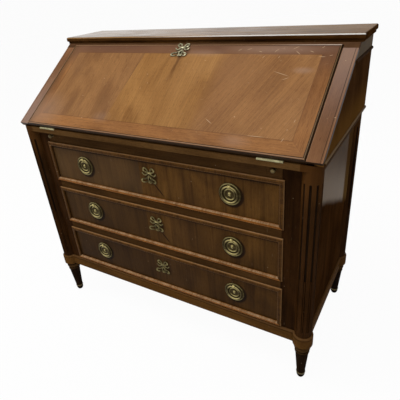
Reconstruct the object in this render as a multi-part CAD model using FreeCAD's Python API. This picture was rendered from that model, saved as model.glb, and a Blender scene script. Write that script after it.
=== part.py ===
import FreeCAD, Part
import math
import os

# Slant-front desk: three long drawers between fluted corner posts on turned legs, and a
# sloping lid that folds down onto two pull-out lopers to make a writing surface.
# Millimetres, x to the right, z up from the floor. While the pieces are drawn, y runs back
# from the plane of the front stiles; finished() moves them so that the origin lies on the
# floor below the middle of the desk.

V = FreeCAD.Vector
X_AXIS = V(1, 0, 0)
Z_AXIS = V(0, 0, 1)
ORIGIN = V(0, 0, 0)

# Lower case and its corner posts
CASE_W = 1006.0
CASE_D = 468.0
POST_R = 24.5
STILE_SETBACK = 19.5
PANEL_SETBACK = 14.5
LEG_H = 146.5
PLINTH_H = 38.0
BLOCK_DROP = 0.5
BLOCK_LEDGE = 5.0
PLINTH_PROUD = 6.0
PLINTH_T = 24.0
PLINTH_OVOLO = 5.0
BOARD_T = 20.0
PANEL_T = 18.0
BACK_T = 8.0
BOTTOM_T = 12.0

# Flutes of the posts and the reeds left standing in their lower part
FLUTE_R = 3.3
FLUTE_COUNT = 5
POST_DIAGONAL_DEG = 45.0
FLUTE_PITCH_DEG = 40.0
FLUTE_TOP_DROP = 34.1
FLUTE_FOOT = 24.0
REED_H = 182.0
REED_R = 2.0
REED_SINK = 2.2

# Turned legs
LEG_NECK_R = 21.5
LEG_BEAD_R = 24.0
LEG_QUIRK_R = 19.3
LEG_TAPER_R = 19.8
LEG_ANKLE_R = 12.6
LEG_NECK_H = 8.0
LEG_BEAD_H = 17.0
LEG_RING_H = 10.0
LEG_QUIRK_H = 2.5
LEG_TIP_H = 17.0
LEG_TIP_R = 9.0
LEG_TIP_SWELL = 1.6
LEG_COLLAR_H = 4.5
LEG_COLLAR_T = 1.0
LEG_COLLAR_SINK = 2.0
LEG_COLLAR_SWELL = 0.4

# Long drawers
DRAWER_COUNT = 3
FRONT_STILE_W = 40.0
LIP_H = 142.6
LIP_OVERLAP = 6.0
LIP_REVEAL = 3.5
DRAWER_GAP = 27.0
FRIEZE_H = 37.3
FRONT_T = 20.0
FRONT_FIT = 1.0
LIP_FIT = 0.3
RUN_FIT = 0.3
SIDE_FIT = 3.0
BOX_SIDE_T = 12.0
BOX_BOTTOM_T = 8.0
BOX_BOTTOM_UP = 6.0
BOX_HEAD_ROOM = 23.5
BOX_BACK_GAP = 16.0
RUNNER_W = 64.0
GUIDE_H = 18.0
GUIDE_W = 18.0
GUIDE_FIT = 0.5

# Moulded frame of a drawer front: ovolo, quirk and raised inner band
FRAME_W = 12.0
FRAME_H = 7.6
FRAME_ROUND = 2.2
FRAME_BAND = 4.6
FRAME_QUIRK = 0.6
FRAME_FOOT = 3.2
FRAME_SWELL = 1.2

# Brass of the drawers
PULL_FROM_END = 150.0
BRASS_RISE = 3.5
PLATE_R = 32.5
PLATE_T = 1.2
RIM_W = 4.3
RIM_H = 3.4
INNER_BEAD_R = 15.7
INNER_BEAD_W = 4.6
INNER_BEAD_H = 4.2
DISH_T = 2.0
BOSS_R = 6.0
BOSS_H = 5.6
RING_R = 23.3
RING_WIRE_R = 2.2
RING_STAND = 4.8
LUG_W = 7.0
LUG_WALL = 1.7
LUG_FIT = 0.5

# Ribbon-bow escutcheon, sizes about the keyhole
ESC_T = 1.8
ESC_PLATE = (13.5, 10.0)
ESC_KNOT = (5.5, 4.5)
ESC_KNOT_UP = 17.0
ESC_STRAND = 3.0
ESC_UPPER_LOOP = (12.5, 6.6)
ESC_UPPER_AT = (13.5, 21.5)
ESC_UPPER_TURN = 22.0
ESC_SIDE_LOOP = (9.5, 5.4)
ESC_SIDE_AT = (15.0, 7.5)
ESC_SIDE_TURN = -38.0
ESC_TAIL_LOOP = (11.5, 5.2)
ESC_TAIL_AT = (16.5, -8.5)
ESC_TAIL_TURN = 14.0
KEYHOLE_R = 2.6
KEYHOLE_SLOT_W = 2.6
KEYHOLE_SLOT_H = 8.0

# Locks
LOCK_W = 60.0
LOCK_H = 44.0
LOCK_T = 11.0
LOCK_PIN_R = 1.3

# Sloping lid, its hinges and the upper case
SLOPE_DEG = 35.1
LID_LEN = 345.5
LID_T = 16.0
LID_FOOT = 3.0
LID_FIT = 1.0
LID_EDGE_W = 6.5
LID_EDGE_ROUND = 3.0
LID_GROOVE_W = 1.6
LID_GROOVE_D = 1.2
LID_KEYHOLE_DROP = 33.6
LEATHER_MARGIN_X = 62.0
LEATHER_MARGIN_FOOT = 46.0
LEATHER_MARGIN_HEAD = 62.0
LEATHER_T = 1.5
HINGE_SETBACK = 2.0
HINGE_FROM_END = 85.0
HINGE_LEN = 66.0
HINGE_LEAF_D = 24.0
HINGE_LEAF_T = 2.0
KNUCKLES = 3
KNUCKLE_R = 3.0
KNUCKLE_FIT = 0.5
KNUCKLE_GAP = 0.3
HINGE_PIN_R = 1.3
HINGE_PIN_FIT = 0.05
STILE_DROP = 4.0
STILE_T = 9.0
STILE_ROUND = 1.5
SLOPE_STILE_W = 38.0
UPPER_PROUD = 2.0
UPPER_SIDE_T = 20.0
HEAD_FACE = 8.4
HEAD_DEPTH = 26.0
HEAD_LAP = 10.5
STOP_W = 12.0
STOP_T = 12.0
STOP_FIT = 0.3
TOP_SIDE_OVER = 9.5
TOP_T = 21.0
TOP_FRONT_OVER = 1.5
TOP_BACK_OVER = 5.5
TOP_STEP = 4.0
TOP_STEP_H = 6.0
TOP_ROUND = 4.5
BEAD_H = 9.0
BEAD_PROUD = 4.0
SIDE_FRIEZE_H = 45.0

# Lopers
LOPER_W = 41.0
LOPER_BACK_GAP = 21.0
LOPER_STILE_FIT = 1.0
LOPER_FIT = 0.3
LOPER_SIDE_FIT = 0.5
LOPER_BED_T = 7.7
LOPER_GUIDE_W = 10.5
KNOB_R = 6.5
KNOB_NECK_R = 3.2
KNOB_NECK_L = 4.0
KNOB_FOOT_R = 5.0
KNOB_FOOT_T = 1.2
KNOB_DROP = 13.0

# Pigeonholes and small drawers inside
NEST_SETBACK = 1.0
NEST_HEAD_ROOM = 10.5
NEST_T = 8.0
NEST_DRAWERS = 3
NEST_HOLES = 5
NEST_DRAWER_H = 52.0
VALANCE_H = 20.0
VALANCE_RISE = 12.0
SMALL_FIT = 0.4
SMALL_T = 7.0
SMALL_FRONT_T = 10.0
SMALL_BACK_GAP = 8.0
SMALL_KNOB_R = 6.0
SMALL_KNOB_NECK_R = 2.6
SMALL_KNOB_NECK_L = 4.0
SMALL_KNOB_FOOT_R = 4.2
SMALL_KNOB_FOOT_T = 1.0

# Places that follow from the sizes
slope_cos = math.cos(math.radians(SLOPE_DEG))
slope_sin = math.sin(math.radians(SLOPE_DEG))
post_x = CASE_W / 2 - POST_R
post_front_y = POST_R - STILE_SETBACK
post_back_y = post_front_y + CASE_D - 2 * POST_R
case_front_y = post_front_y - POST_R
case_back_y = post_back_y + POST_R
inner_x = post_x - POST_R
panel_x = CASE_W / 2 - PANEL_SETBACK
post_core_back_y = post_front_y + POST_R
rear_core_front_y = post_back_y - POST_R
back_board_y = post_back_y + POST_R - STILE_SETBACK
back_inner_y = back_board_y - BACK_T
plinth_z = LEG_H + BLOCK_DROP
case_z = plinth_z + PLINTH_H
lip_zs = [case_z + LIP_REVEAL + k * (LIP_H + DRAWER_GAP) for k in range(DRAWER_COUNT)]
lip_w = 2 * (inner_x - FRONT_STILE_W)
pull_x = lip_w / 2 - PULL_FROM_END
opening_x = lip_w / 2 - LIP_OVERLAP
opening_h = LIP_H - 2 * LIP_OVERLAP
box_h = opening_h - BOX_HEAD_ROOM
runner_t = LIP_REVEAL + LIP_OVERLAP
top_lip_z = lip_zs[-1] + LIP_H
rail_z = top_lip_z + FRIEZE_H
bed_z = rail_z + LID_T
hinge_y = case_front_y + HINGE_SETBACK
lid_top = LID_FOOT + LID_LEN
stile_n = LID_T - STILE_DROP
stile_under_n = stile_n - STILE_T
head_t = lid_top + LID_FIT
upper_x = CASE_W / 2 + UPPER_PROUD
upper_side_x = upper_x - UPPER_SIDE_T
lid_opening_x = upper_x - SLOPE_STILE_W
lid_w = 2 * (lid_opening_x - LID_FIT)
hinge_x = lid_w / 2 - HINGE_FROM_END
top_x = upper_x + TOP_SIDE_OVER
top_z = bed_z + (head_t + HEAD_FACE) * slope_sin + stile_n * slope_cos
desk_h = top_z + TOP_T
slope_head_y = hinge_y + (head_t + HEAD_FACE) * slope_cos - stile_n * slope_sin
top_front_y = slope_head_y - TOP_FRONT_OVER
top_back_y = case_back_y + TOP_BACK_OVER
stile_nose_y = hinge_y + LID_FOOT * slope_cos - stile_n * slope_sin
desk_front_y = min(stile_nose_y, case_front_y - BLOCK_LEDGE)
origin_y = (desk_front_y + top_back_y) / 2
loper_x = opening_x - LOPER_STILE_FIT - LOPER_W / 2
loper_back_y = back_inner_y - LOPER_BACK_GAP
loper_top_z = rail_z - LOPER_FIT
loper_bed_z = top_lip_z - LIP_OVERLAP
loper_low_z = loper_bed_z + LOPER_BED_T + LOPER_FIT
panel_front_y = -LIP_FIT
ring_y = panel_front_y - RING_STAND
nest_back_y = case_back_y - BACK_T
nest_front_y = top_front_y + NEST_SETBACK
stop_low_z = bed_z + (head_t - STOP_W) * slope_sin - (STOP_FIT + STOP_T) * slope_cos
nest_top_z = stop_low_z - NEST_HEAD_ROOM
nest_bay_w = (2 * upper_side_x - (NEST_DRAWERS + 1) * NEST_T) / NEST_DRAWERS
lid_key_t = lid_top - LID_KEYHOLE_DROP


def brass_z(lip_z):
    return lip_z + LIP_H / 2 + BRASS_RISE


def slope_point(along, out):
    # Side-view place of a point on the slope: along it from the hinge axis, and out from it
    return (hinge_y + along * slope_cos - out * slope_sin, bed_z + along * slope_sin + out * slope_cos)


def along_at_height(out, z):
    return (z - bed_z - out * slope_cos) / slope_sin


def box(x0, x1, y0, y1, z0, z1):
    return Part.makeBox(x1 - x0, y1 - y0, z1 - z0, V(x0, y0, z0))


def cylinder_x(radius, x0, x1, y, z):
    return Part.makeCylinder(radius, x1 - x0, V(x0, y, z), X_AXIS)


def mirrored(shape):
    return shape.mirror(ORIGIN, X_AXIS)


def both_sides(shape):
    return [shape, mirrored(shape)]


def face_through(steps, to_3d):
    # Closed face; a step that holds two points is an arc through the first to the second
    edges = []
    here = steps[0]
    for step in steps[1:] + steps[:1]:
        if isinstance(step[0], tuple):
            edges.append(Part.Arc(to_3d(here), to_3d(step[0]), to_3d(step[1])).toShape())
            here = step[1]
        else:
            edges.append(Part.LineSegment(to_3d(here), to_3d(step)).toShape())
            here = step
    return Part.Face(Part.Wire(edges))


def quarter(start, corner, end):
    # Arc step from start to end of an ovolo whose square corner is given
    rest = 1 - math.sqrt(0.5)
    centre = (start[0] + end[0] - corner[0], start[1] + end[1] - corner[1])
    middle = (corner[0] + (centre[0] - corner[0]) * rest, corner[1] + (centre[1] - corner[1]) * rest)
    return (middle, end)


def swelled(start, end, rise):
    # Arc step to end whose middle stands out to the right of the straight way
    length = math.hypot(end[0] - start[0], end[1] - start[1])
    out = ((end[1] - start[1]) / length, (start[0] - end[0]) / length)
    middle = ((start[0] + end[0]) / 2 + rise * out[0], (start[1] + end[1]) / 2 + rise * out[1])
    return (middle, end)


def dome(foot_r, foot_z, top_z):
    # Arc step from a dome's foot to its crown on the axis
    rise = top_z - foot_z
    r = (foot_r ** 2 + rise ** 2) / (2 * rise)
    half_turn = math.asin(foot_r / r) / 2
    return ((r * math.sin(half_turn), top_z - r + r * math.cos(half_turn)), (0, top_z))


def prism_x(steps, x0, x1):
    return face_through(steps, lambda p: V(x0, p[0], p[1])).extrude(V(x1 - x0, 0, 0))


def prism_y(steps, y0, y1):
    return face_through(steps, lambda p: V(p[0], y0, p[1])).extrude(V(0, y1 - y0, 0))


def turned(steps):
    # Solid turned about the z axis from a half profile of radius and height
    return face_through(steps, lambda p: V(p[0], 0, p[1])).revolve(ORIGIN, Z_AXIS, 360)


def moved(shape, x, y, z):
    copy = shape.copy()
    copy.translate(V(x, y, z))
    return copy


def upright(shape, x, y, z):
    # From a drawing with y up and z out to a place on an upright front
    copy = shape.copy()
    copy.rotate(ORIGIN, X_AXIS, 90)
    return moved(copy, x, y, z)


def on_slope(shape):
    # From a drawing with y along the slope and z out of it to its place on the desk
    copy = shape.copy()
    copy.rotate(ORIGIN, X_AXIS, SLOPE_DEG)
    return moved(copy, 0, hinge_y, bed_z)


def finished(shapes):
    return Part.makeCompound([moved(shape, 0, -origin_y, 0) for shape in shapes])


def corner_place(corner, x, y):
    # Place at a corner, given as its side and whether it is at the rear, of a front right place
    side, rear = corner
    return side * x, post_front_y + post_back_y - y if rear else y


def corner_box(corner, x0, x1, y0, y1, z0, z1):
    xa, ya = corner_place(corner, x0, y0)
    xb, yb = corner_place(corner, x1, y1)
    return box(min(xa, xb), max(xa, xb), min(ya, yb), max(ya, yb), z0, z1)


def at_four_corners(front_right):
    # Front pieces are mirrored left to right, rear pieces front to back as well
    middle = V(0, (post_front_y + post_back_y) / 2, 0)
    rear = front_right.mirror(middle, V(0, 1, 0))
    return both_sides(front_right) + both_sides(rear)


# Corner posts, plinth and legs

def flute_places():
    middle = (FLUTE_COUNT - 1) / 2
    for k in range(FLUTE_COUNT):
        turn = math.radians(POST_DIAGONAL_DEG + (k - middle) * FLUTE_PITCH_DEG)
        yield math.sin(turn), -math.cos(turn)


def round_ended_rod(radius, x, y, z0, z1):
    rod = Part.makeCylinder(radius, z1 - z0, V(x, y, z0))
    return rod.fuse([Part.makeSphere(radius, V(x, y, z)) for z in (z0, z1)])


def corner_post(corner):
    shaft_x, shaft_y = corner_place(corner, post_x, post_front_y)
    inside_x, inside_y = corner_place(corner, inner_x, post_core_back_y)
    shaft = Part.makeCylinder(POST_R, bed_z - case_z, V(shaft_x, shaft_y, case_z))
    # The round face's seam is turned inwards, clear of the flutes
    inward = math.degrees(math.atan2(inside_y - shaft_y, inside_x - shaft_x))
    shaft.rotate(V(shaft_x, shaft_y, case_z), Z_AXIS, inward)
    core = corner_box(corner, inner_x, panel_x, 0, post_core_back_y, case_z, bed_z)
    block_left = corner_box(corner, inner_x, post_x, case_front_y, post_core_back_y, rail_z, bed_z)
    block_back = corner_box(corner, inner_x, CASE_W / 2, post_front_y, post_core_back_y, rail_z, bed_z)
    flute_z1 = rail_z - FLUTE_TOP_DROP
    flute_z0 = case_z + FLUTE_FOOT
    reed_r = POST_R - REED_SINK
    grooves = []
    for dx, dy in flute_places():
        x, y = corner_place(corner, post_x + POST_R * dx, post_front_y + POST_R * dy)
        flute = round_ended_rod(FLUTE_R, x, y, flute_z0, flute_z1)
        x, y = corner_place(corner, post_x + reed_r * dx, post_front_y + reed_r * dy)
        reed = round_ended_rod(REED_R, x, y, flute_z0, flute_z0 + REED_H)
        grooves.append(flute.cut(reed))
    post = shaft.fuse([core, block_left, block_back]).removeSplitter()
    return post.cut(grooves)


def plinth_block():
    r = POST_R + BLOCK_LEDGE
    shoulder = case_z - PLINTH_OVOLO
    brow = r - PLINTH_OVOLO
    round_part = moved(turned([
        (0, LEG_H), (r, LEG_H), (r, shoulder),
        quarter((r, shoulder), (r, case_z), (brow, case_z)), (0, case_z),
    ]), post_x, post_front_y, 0)
    core = box(inner_x, panel_x, 0, post_core_back_y, LEG_H, case_z)
    return round_part.fuse(core).removeSplitter()


def plinth_profile(face, inner):
    # Plain band under an ovolo, from the outer face in to the back of the rail
    way = 1 if inner > face else -1
    shoulder = case_z - PLINTH_OVOLO
    brow = face + way * PLINTH_OVOLO
    return [
        (face, plinth_z), (face, shoulder),
        quarter((face, shoulder), (face, case_z), (brow, case_z)),
        (inner, case_z), (inner, plinth_z),
    ]


def plinth_pieces():
    blocks = at_four_corners(plinth_block())
    front_face = -PLINTH_PROUD
    front = prism_x(plinth_profile(front_face, front_face + PLINTH_T), -inner_x, inner_x)
    back_face = back_board_y + PLINTH_PROUD
    back = prism_x(plinth_profile(back_face, back_face - PLINTH_T), -inner_x, inner_x)
    side_face = panel_x + PLINTH_PROUD
    side = prism_y(plinth_profile(side_face, side_face - PLINTH_T), post_core_back_y, rear_core_front_y)
    rails = [front, back] + both_sides(side)
    return [rail.cut(blocks) for rail in rails], blocks


def turned_leg():
    z = LEG_H
    neck_z = z - LEG_NECK_H
    bead_z = neck_z - LEG_BEAD_H
    ring_z = bead_z - LEG_QUIRK_H
    taper_z = ring_z - LEG_RING_H
    ring_r = (LEG_BEAD_R + LEG_TAPER_R) / 2
    bead_mid = (LEG_BEAD_R, (neck_z + bead_z) / 2)
    ring_mid = (ring_r, (ring_z + taper_z) / 2)
    ankle = (LEG_ANKLE_R, LEG_TIP_H)
    seat_r = LEG_ANKLE_R - LEG_COLLAR_SINK
    collar_z = LEG_TIP_H + LEG_COLLAR_H
    return turned([
        (0, 0), (LEG_TIP_R, 0), swelled((LEG_TIP_R, 0), ankle, LEG_TIP_SWELL),
        (seat_r, LEG_TIP_H), (seat_r, collar_z), (LEG_ANKLE_R, collar_z),
        (LEG_TAPER_R, taper_z), (LEG_QUIRK_R, taper_z),
        (ring_mid, (LEG_QUIRK_R, ring_z)), (LEG_QUIRK_R, bead_z),
        (bead_mid, (LEG_QUIRK_R, neck_z)), (LEG_NECK_R, neck_z), (LEG_NECK_R, z), (0, z),
    ])


def leg_collar():
    inner = LEG_ANKLE_R - LEG_COLLAR_SINK
    outer = LEG_ANKLE_R + LEG_COLLAR_T
    low = LEG_TIP_H
    high = low + LEG_COLLAR_H
    bulge = swelled((outer, low), (outer, high), LEG_COLLAR_SWELL)
    return turned([(inner, low), (outer, low), bulge, (inner, high)])


def leg_places():
    return [(sx * post_x, y) for y in (post_front_y, post_back_y) for sx in (1, -1)]


# Lower case

def side_panel():
    return box(panel_x - PANEL_T, panel_x, post_core_back_y, rear_core_front_y, case_z, rail_z)


def front_stile():
    return box(opening_x, inner_x, 0, BOARD_T, case_z, rail_z)


def drawer_rails():
    # Rails between the drawer openings, with the thin one under the lopers
    edges = [case_z]
    for lip_z in lip_zs:
        edges += [lip_z + LIP_OVERLAP, lip_z + LIP_H - LIP_OVERLAP]
    edges.append(loper_bed_z + LOPER_BED_T)
    spans = zip(edges[0::2], edges[1::2])
    return [box(-opening_x, opening_x, 0, BOARD_T, low, high) for low, high in spans]


def frieze_board():
    x = loper_x - LOPER_W / 2 - LOPER_SIDE_FIT
    return box(-x, x, 0, BOARD_T, loper_bed_z + LOPER_BED_T, rail_z)


def drawer_runners():
    pieces = []
    side_x = opening_x - SIDE_FIT
    for lip_z in lip_zs:
        z = lip_z + LIP_OVERLAP
        runner = box(inner_x - RUNNER_W, inner_x, BOARD_T, back_inner_y, z - runner_t, z)
        guide_x = side_x + GUIDE_FIT
        guide = box(guide_x, guide_x + GUIDE_W, BOARD_T, back_inner_y, z, z + GUIDE_H)
        pieces += both_sides(runner) + both_sides(guide)
    return pieces


def loper_guides():
    near = loper_x - LOPER_W / 2 - LOPER_SIDE_FIT
    far = loper_x + LOPER_W / 2 + LOPER_SIDE_FIT
    floor_z = loper_bed_z + LOPER_BED_T
    bed = box(near - LOPER_GUIDE_W, far + LOPER_GUIDE_W, BOARD_T, back_inner_y, loper_bed_z, floor_z)
    inner = box(near - LOPER_GUIDE_W, near, BOARD_T, back_inner_y, floor_z, rail_z)
    outer = box(far, far + LOPER_GUIDE_W, BOARD_T, back_inner_y, floor_z, rail_z)
    return both_sides(bed) + both_sides(inner) + both_sides(outer)


def lower_back_board():
    return box(-inner_x, inner_x, back_inner_y, back_board_y, case_z, rail_z)


def bottom_board():
    front = PLINTH_T - PLINTH_PROUD
    back = back_board_y + PLINTH_PROUD - PLINTH_T
    side = panel_x + PLINTH_PROUD - PLINTH_T
    long_board = box(-inner_x, inner_x, front, back, case_z - BOTTOM_T, case_z)
    wide_board = box(-side, side, post_core_back_y, rear_core_front_y, case_z - BOTTOM_T, case_z)
    return long_board.fuse(wide_board).removeSplitter().cut(at_four_corners(plinth_block()))


def bed_rail():
    rail = box(-inner_x, inner_x, case_front_y, post_core_back_y, rail_z, bed_z)
    return rail.cut(both_sides(hinge_seat()))


def bed_frame_rails():
    side = box(inner_x, CASE_W / 2, post_core_back_y, rear_core_front_y, rail_z, bed_z)
    rear = box(-inner_x, inner_x, rear_core_front_y, case_back_y, rail_z, bed_z)
    return both_sides(side) + [rear]


def writing_bed():
    return box(-inner_x, inner_x, post_core_back_y, rear_core_front_y, rail_z, bed_z)


# Hinges

def hinge_span():
    return hinge_x - HINGE_LEN / 2, hinge_x + HINGE_LEN / 2


def fixed_leaf_plate():
    x0, x1 = hinge_span()
    return box(x0, x1, hinge_y, hinge_y + HINGE_LEAF_D, bed_z - HINGE_LEAF_T, bed_z)


def lid_leaf_plate():
    # Drawn on the slope
    x0, x1 = hinge_span()
    return box(x0, x1, 0, HINGE_LEAF_D, 0, HINGE_LEAF_T)


def hinge_seat():
    x0, x1 = hinge_span()
    room = cylinder_x(KNUCKLE_R + KNUCKLE_FIT, x0 - KNUCKLE_FIT, x1 + KNUCKLE_FIT, hinge_y, bed_z)
    return fixed_leaf_plate().fuse(room)


def knuckle_spans():
    x0, x1 = hinge_span()
    each = HINGE_LEN / KNUCKLES
    return (x0, x0 + each - KNUCKLE_GAP), (x0 + each, x1 - each), (x1 - each + KNUCKLE_GAP, x1)


def hinge_fixed_leaf():
    first, middle, last = knuckle_spans()
    knuckles = [cylinder_x(KNUCKLE_R, *span, hinge_y, bed_z) for span in (first, last)]
    room_r = KNUCKLE_R + KNUCKLE_FIT
    room = cylinder_x(room_r, middle[0] - KNUCKLE_GAP, middle[1] + KNUCKLE_GAP, hinge_y, bed_z)
    pin = cylinder_x(HINGE_PIN_R, *hinge_span(), hinge_y, bed_z)
    return fixed_leaf_plate().cut(room).fuse(knuckles).cut(pin)


def hinge_pin():
    return cylinder_x(HINGE_PIN_R, *hinge_span(), hinge_y, bed_z)


def hinge_lid_leaf():
    first, middle, last = knuckle_spans()
    knuckle = cylinder_x(KNUCKLE_R, *middle, 0, 0)
    room = [
        cylinder_x(KNUCKLE_R + KNUCKLE_FIT, first[0] - KNUCKLE_FIT, first[1] + KNUCKLE_GAP, 0, 0),
        cylinder_x(KNUCKLE_R + KNUCKLE_FIT, last[0] - KNUCKLE_GAP, last[1] + KNUCKLE_FIT, 0, 0),
    ]
    bore = cylinder_x(HINGE_PIN_R + HINGE_PIN_FIT, *middle, 0, 0)
    return on_slope(lid_leaf_plate().cut(room).fuse(knuckle).cut(bore))


# Lid, drawn on the slope

def lid_seats():
    x0, x1 = hinge_span()
    room = cylinder_x(KNUCKLE_R + KNUCKLE_FIT, x0 - KNUCKLE_FIT, x1 + KNUCKLE_FIT, 0, 0)
    return both_sides(room.fuse(lid_leaf_plate()))


def leather_on_lid(thickness):
    half = lid_w / 2 - LEATHER_MARGIN_X
    return box(-half, half, LID_FOOT + LEATHER_MARGIN_FOOT, lid_top - LEATHER_MARGIN_HEAD, 0, thickness)


def lid_lock_case():
    top = lid_top - LID_EDGE_W
    return box(-LOCK_W / 2, LOCK_W / 2, top - LOCK_H, top, 0, LOCK_T)


def keyhole(depth):
    # Round eye with a slot below it, drawn with y up and z out
    eye = Part.makeCylinder(KEYHOLE_R, depth)
    slot = Part.makeBox(KEYHOLE_SLOT_W, KEYHOLE_SLOT_H, depth, V(-KEYHOLE_SLOT_W / 2, -KEYHOLE_SLOT_H, 0))
    return eye.fuse(slot)


def lid_panel():
    half = lid_w / 2 - LID_EDGE_W
    panel = box(-half, half, LID_FOOT + LID_EDGE_W, lid_top - LID_EDGE_W, 0, LID_T)
    hole = moved(keyhole(LID_T), 0, lid_key_t, 0)
    return on_slope(panel.cut(lid_seats() + [leather_on_lid(LEATHER_T), lid_lock_case(), hole]))


def lid_edge_profile():
    # Rounded outer edge, then a groove beside the veneered field
    groove = LID_EDGE_W - LID_GROOVE_W
    round_low = LID_T - LID_EDGE_ROUND
    return [
        (0, 0), (0, round_low), quarter((0, round_low), (0, LID_T), (LID_EDGE_ROUND, LID_T)),
        (groove, LID_T), (groove, LID_T - LID_GROOVE_D), (LID_EDGE_W, LID_T - LID_GROOVE_D), (LID_EDGE_W, 0),
    ]


def mitred_strip(length, width, profile, height):
    strip = face_through(profile, lambda p: V(-length / 2, p[0], p[1])).extrude(V(length, 0, 0))
    spare = width / 2
    wedge = Part.Face(Part.makePolygon([
        V(-length / 2 - spare, -spare, -spare), V(-length / 2 + width + spare, width + spare, -spare),
        V(-length / 2 - spare, width + spare, -spare), V(-length / 2 - spare, -spare, -spare),
    ])).extrude(V(0, 0, height + 2 * spare))
    return strip.cut([wedge, mirrored(wedge)])


def moulded_frame(width, height, band, profile, thickness):
    # Four mitred strips round a rectangle, drawn flat about its middle
    pieces = []
    for quarter_turns in range(4):
        across = quarter_turns % 2 == 0
        length, reach = (width, height) if across else (height, width)
        strip = mitred_strip(length, band, profile, thickness)
        strip.translate(V(0, -reach / 2, 0))
        strip.rotate(ORIGIN, Z_AXIS, quarter_turns * 90)
        pieces.append(strip)
    return pieces


def lid_edge_moulding():
    middle = LID_FOOT + LID_LEN / 2
    strips = moulded_frame(lid_w, LID_LEN, LID_EDGE_W, lid_edge_profile(), LID_T)
    return [on_slope(moved(strip, 0, middle, 0).cut(lid_seats())) for strip in strips]


def lid_lock():
    pin = Part.makeCylinder(LOCK_PIN_R, LID_T - ESC_T, V(0, lid_key_t, 0))
    return on_slope(lid_lock_case().fuse(pin))


# Upper case

def upper_side():
    foot_n = -LID_FOOT * slope_sin / slope_cos
    steps = [
        slope_point(LID_FOOT, foot_n), slope_point(LID_FOOT, stile_under_n),
        slope_point(along_at_height(stile_under_n, top_z), stile_under_n),
        (case_back_y, top_z), (case_back_y, bed_z),
    ]
    return prism_x(steps, upper_side_x, upper_x)


def slope_stile():
    round_low = stile_n - STILE_ROUND
    round_in = upper_x - STILE_ROUND
    steps = [
        (lid_opening_x, stile_under_n), (upper_x, stile_under_n), (upper_x, round_low),
        quarter((upper_x, round_low), (upper_x, stile_n), (round_in, stile_n)), (lid_opening_x, stile_n),
    ]
    return on_slope(prism_y(steps, LID_FOOT, head_t - HEAD_LAP))


def head_rail():
    face_top = slope_point(along_at_height(stile_n, top_z), stile_n)
    under_top = slope_point(along_at_height(stile_under_n, top_z), stile_under_n)
    face = prism_x([
        slope_point(head_t, stile_n), face_top, under_top, slope_point(head_t, stile_under_n),
    ], -upper_x, upper_x)
    behind = prism_x([
        slope_point(head_t, stile_under_n), under_top, (under_top[0] + HEAD_DEPTH, top_z),
        slope_point(head_t, -STOP_FIT - STOP_T), slope_point(head_t - STOP_W, -STOP_FIT - STOP_T),
        slope_point(head_t - STOP_W, -STOP_FIT), slope_point(head_t, -STOP_FIT),
    ], -upper_side_x, upper_side_x)
    return face.fuse(behind).removeSplitter()


def head_lap():
    # End of the head rail that comes down over a stile
    low = head_t - HEAD_LAP
    return prism_x([
        slope_point(low, stile_n), slope_point(head_t, stile_n),
        slope_point(head_t, stile_under_n), slope_point(low, stile_under_n),
    ], lid_opening_x, upper_x)


def upper_back_board():
    return box(-upper_side_x, upper_side_x, nest_back_y, case_back_y, bed_z, top_z)


def top_board():
    step_z = top_z + TOP_STEP_H
    lower = box(-top_x + TOP_STEP, top_x - TOP_STEP, top_front_y + TOP_STEP, top_back_y, top_z, step_z)
    slab = box(-top_x, top_x, top_front_y, top_back_y, step_z, desk_h)
    rounded = [e for e in slab.Edges if e.BoundBox.YMax < top_back_y and e.BoundBox.ZLength < TOP_ROUND]
    ends = [e for e in slab.Edges if e.BoundBox.XLength < TOP_ROUND and e.BoundBox.ZLength < TOP_ROUND]
    slab = slab.makeFillet(TOP_ROUND, rounded + ends)
    return slab.fuse(lower).removeSplitter()


def side_beads():
    # Half-round strips along the sides: one at the writing level, one below the top board
    pieces = []
    for z in (bed_z, top_z - SIDE_FRIEZE_H):
        front_y = slope_point(along_at_height(stile_under_n, z + BEAD_H), stile_under_n)[0]
        front_y = max(front_y, slope_point(LID_FOOT, stile_under_n)[0])
        x = upper_x
        arc = ((x + BEAD_PROUD, z + BEAD_H / 2), (x, z + BEAD_H))
        pieces += both_sides(prism_y([(x, z), arc], front_y, case_back_y))
    return pieces


# Lopers

def loper():
    x0 = loper_x - LOPER_W / 2
    return box(x0, x0 + LOPER_W, 0, loper_back_y, loper_low_z, loper_top_z)


def turned_knob(ball_r, neck_r, neck_l, foot_r, foot_t):
    # Ball on a neck with a small foot, standing out of an upright front at the origin
    ball_z = neck_l + math.sqrt(ball_r ** 2 - neck_r ** 2)
    knob = turned([
        (0, 0), (foot_r, 0), (foot_r, foot_t), (neck_r, foot_t),
        (neck_r, neck_l), ((ball_r, ball_z), (0, ball_z + ball_r)),
    ])
    knob.rotate(ORIGIN, X_AXIS, 90)
    return knob


def loper_knob():
    knob = turned_knob(KNOB_R, KNOB_NECK_R, KNOB_NECK_L, KNOB_FOOT_R, KNOB_FOOT_T)
    return moved(knob, loper_x, 0, loper_top_z - KNOB_DROP)


# Long drawers

def drawer_front(lip_z):
    low = lip_z + LIP_OVERLAP + FRONT_FIT
    high = lip_z + LIP_H - LIP_OVERLAP - FRONT_FIT
    x = opening_x - FRONT_FIT
    board = box(-x, x, panel_front_y, panel_front_y + FRONT_T, low, high)
    hole = upright(keyhole(FRONT_T), 0, panel_front_y + FRONT_T, brass_z(lip_z))
    return board.cut(hole)


def drawer_frame_profile():
    edge = (FRAME_W, FRAME_H - FRAME_ROUND)
    crown = (FRAME_W - FRAME_ROUND, FRAME_H)
    shelf = (FRAME_W - FRAME_BAND, FRAME_H - FRAME_QUIRK)
    return [
        (0, 0), (FRAME_W, 0), edge, quarter(edge, (FRAME_W, FRAME_H), crown),
        (FRAME_W - FRAME_BAND, FRAME_H), shelf, swelled(shelf, (0, FRAME_FOOT), FRAME_SWELL),
    ]


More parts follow.
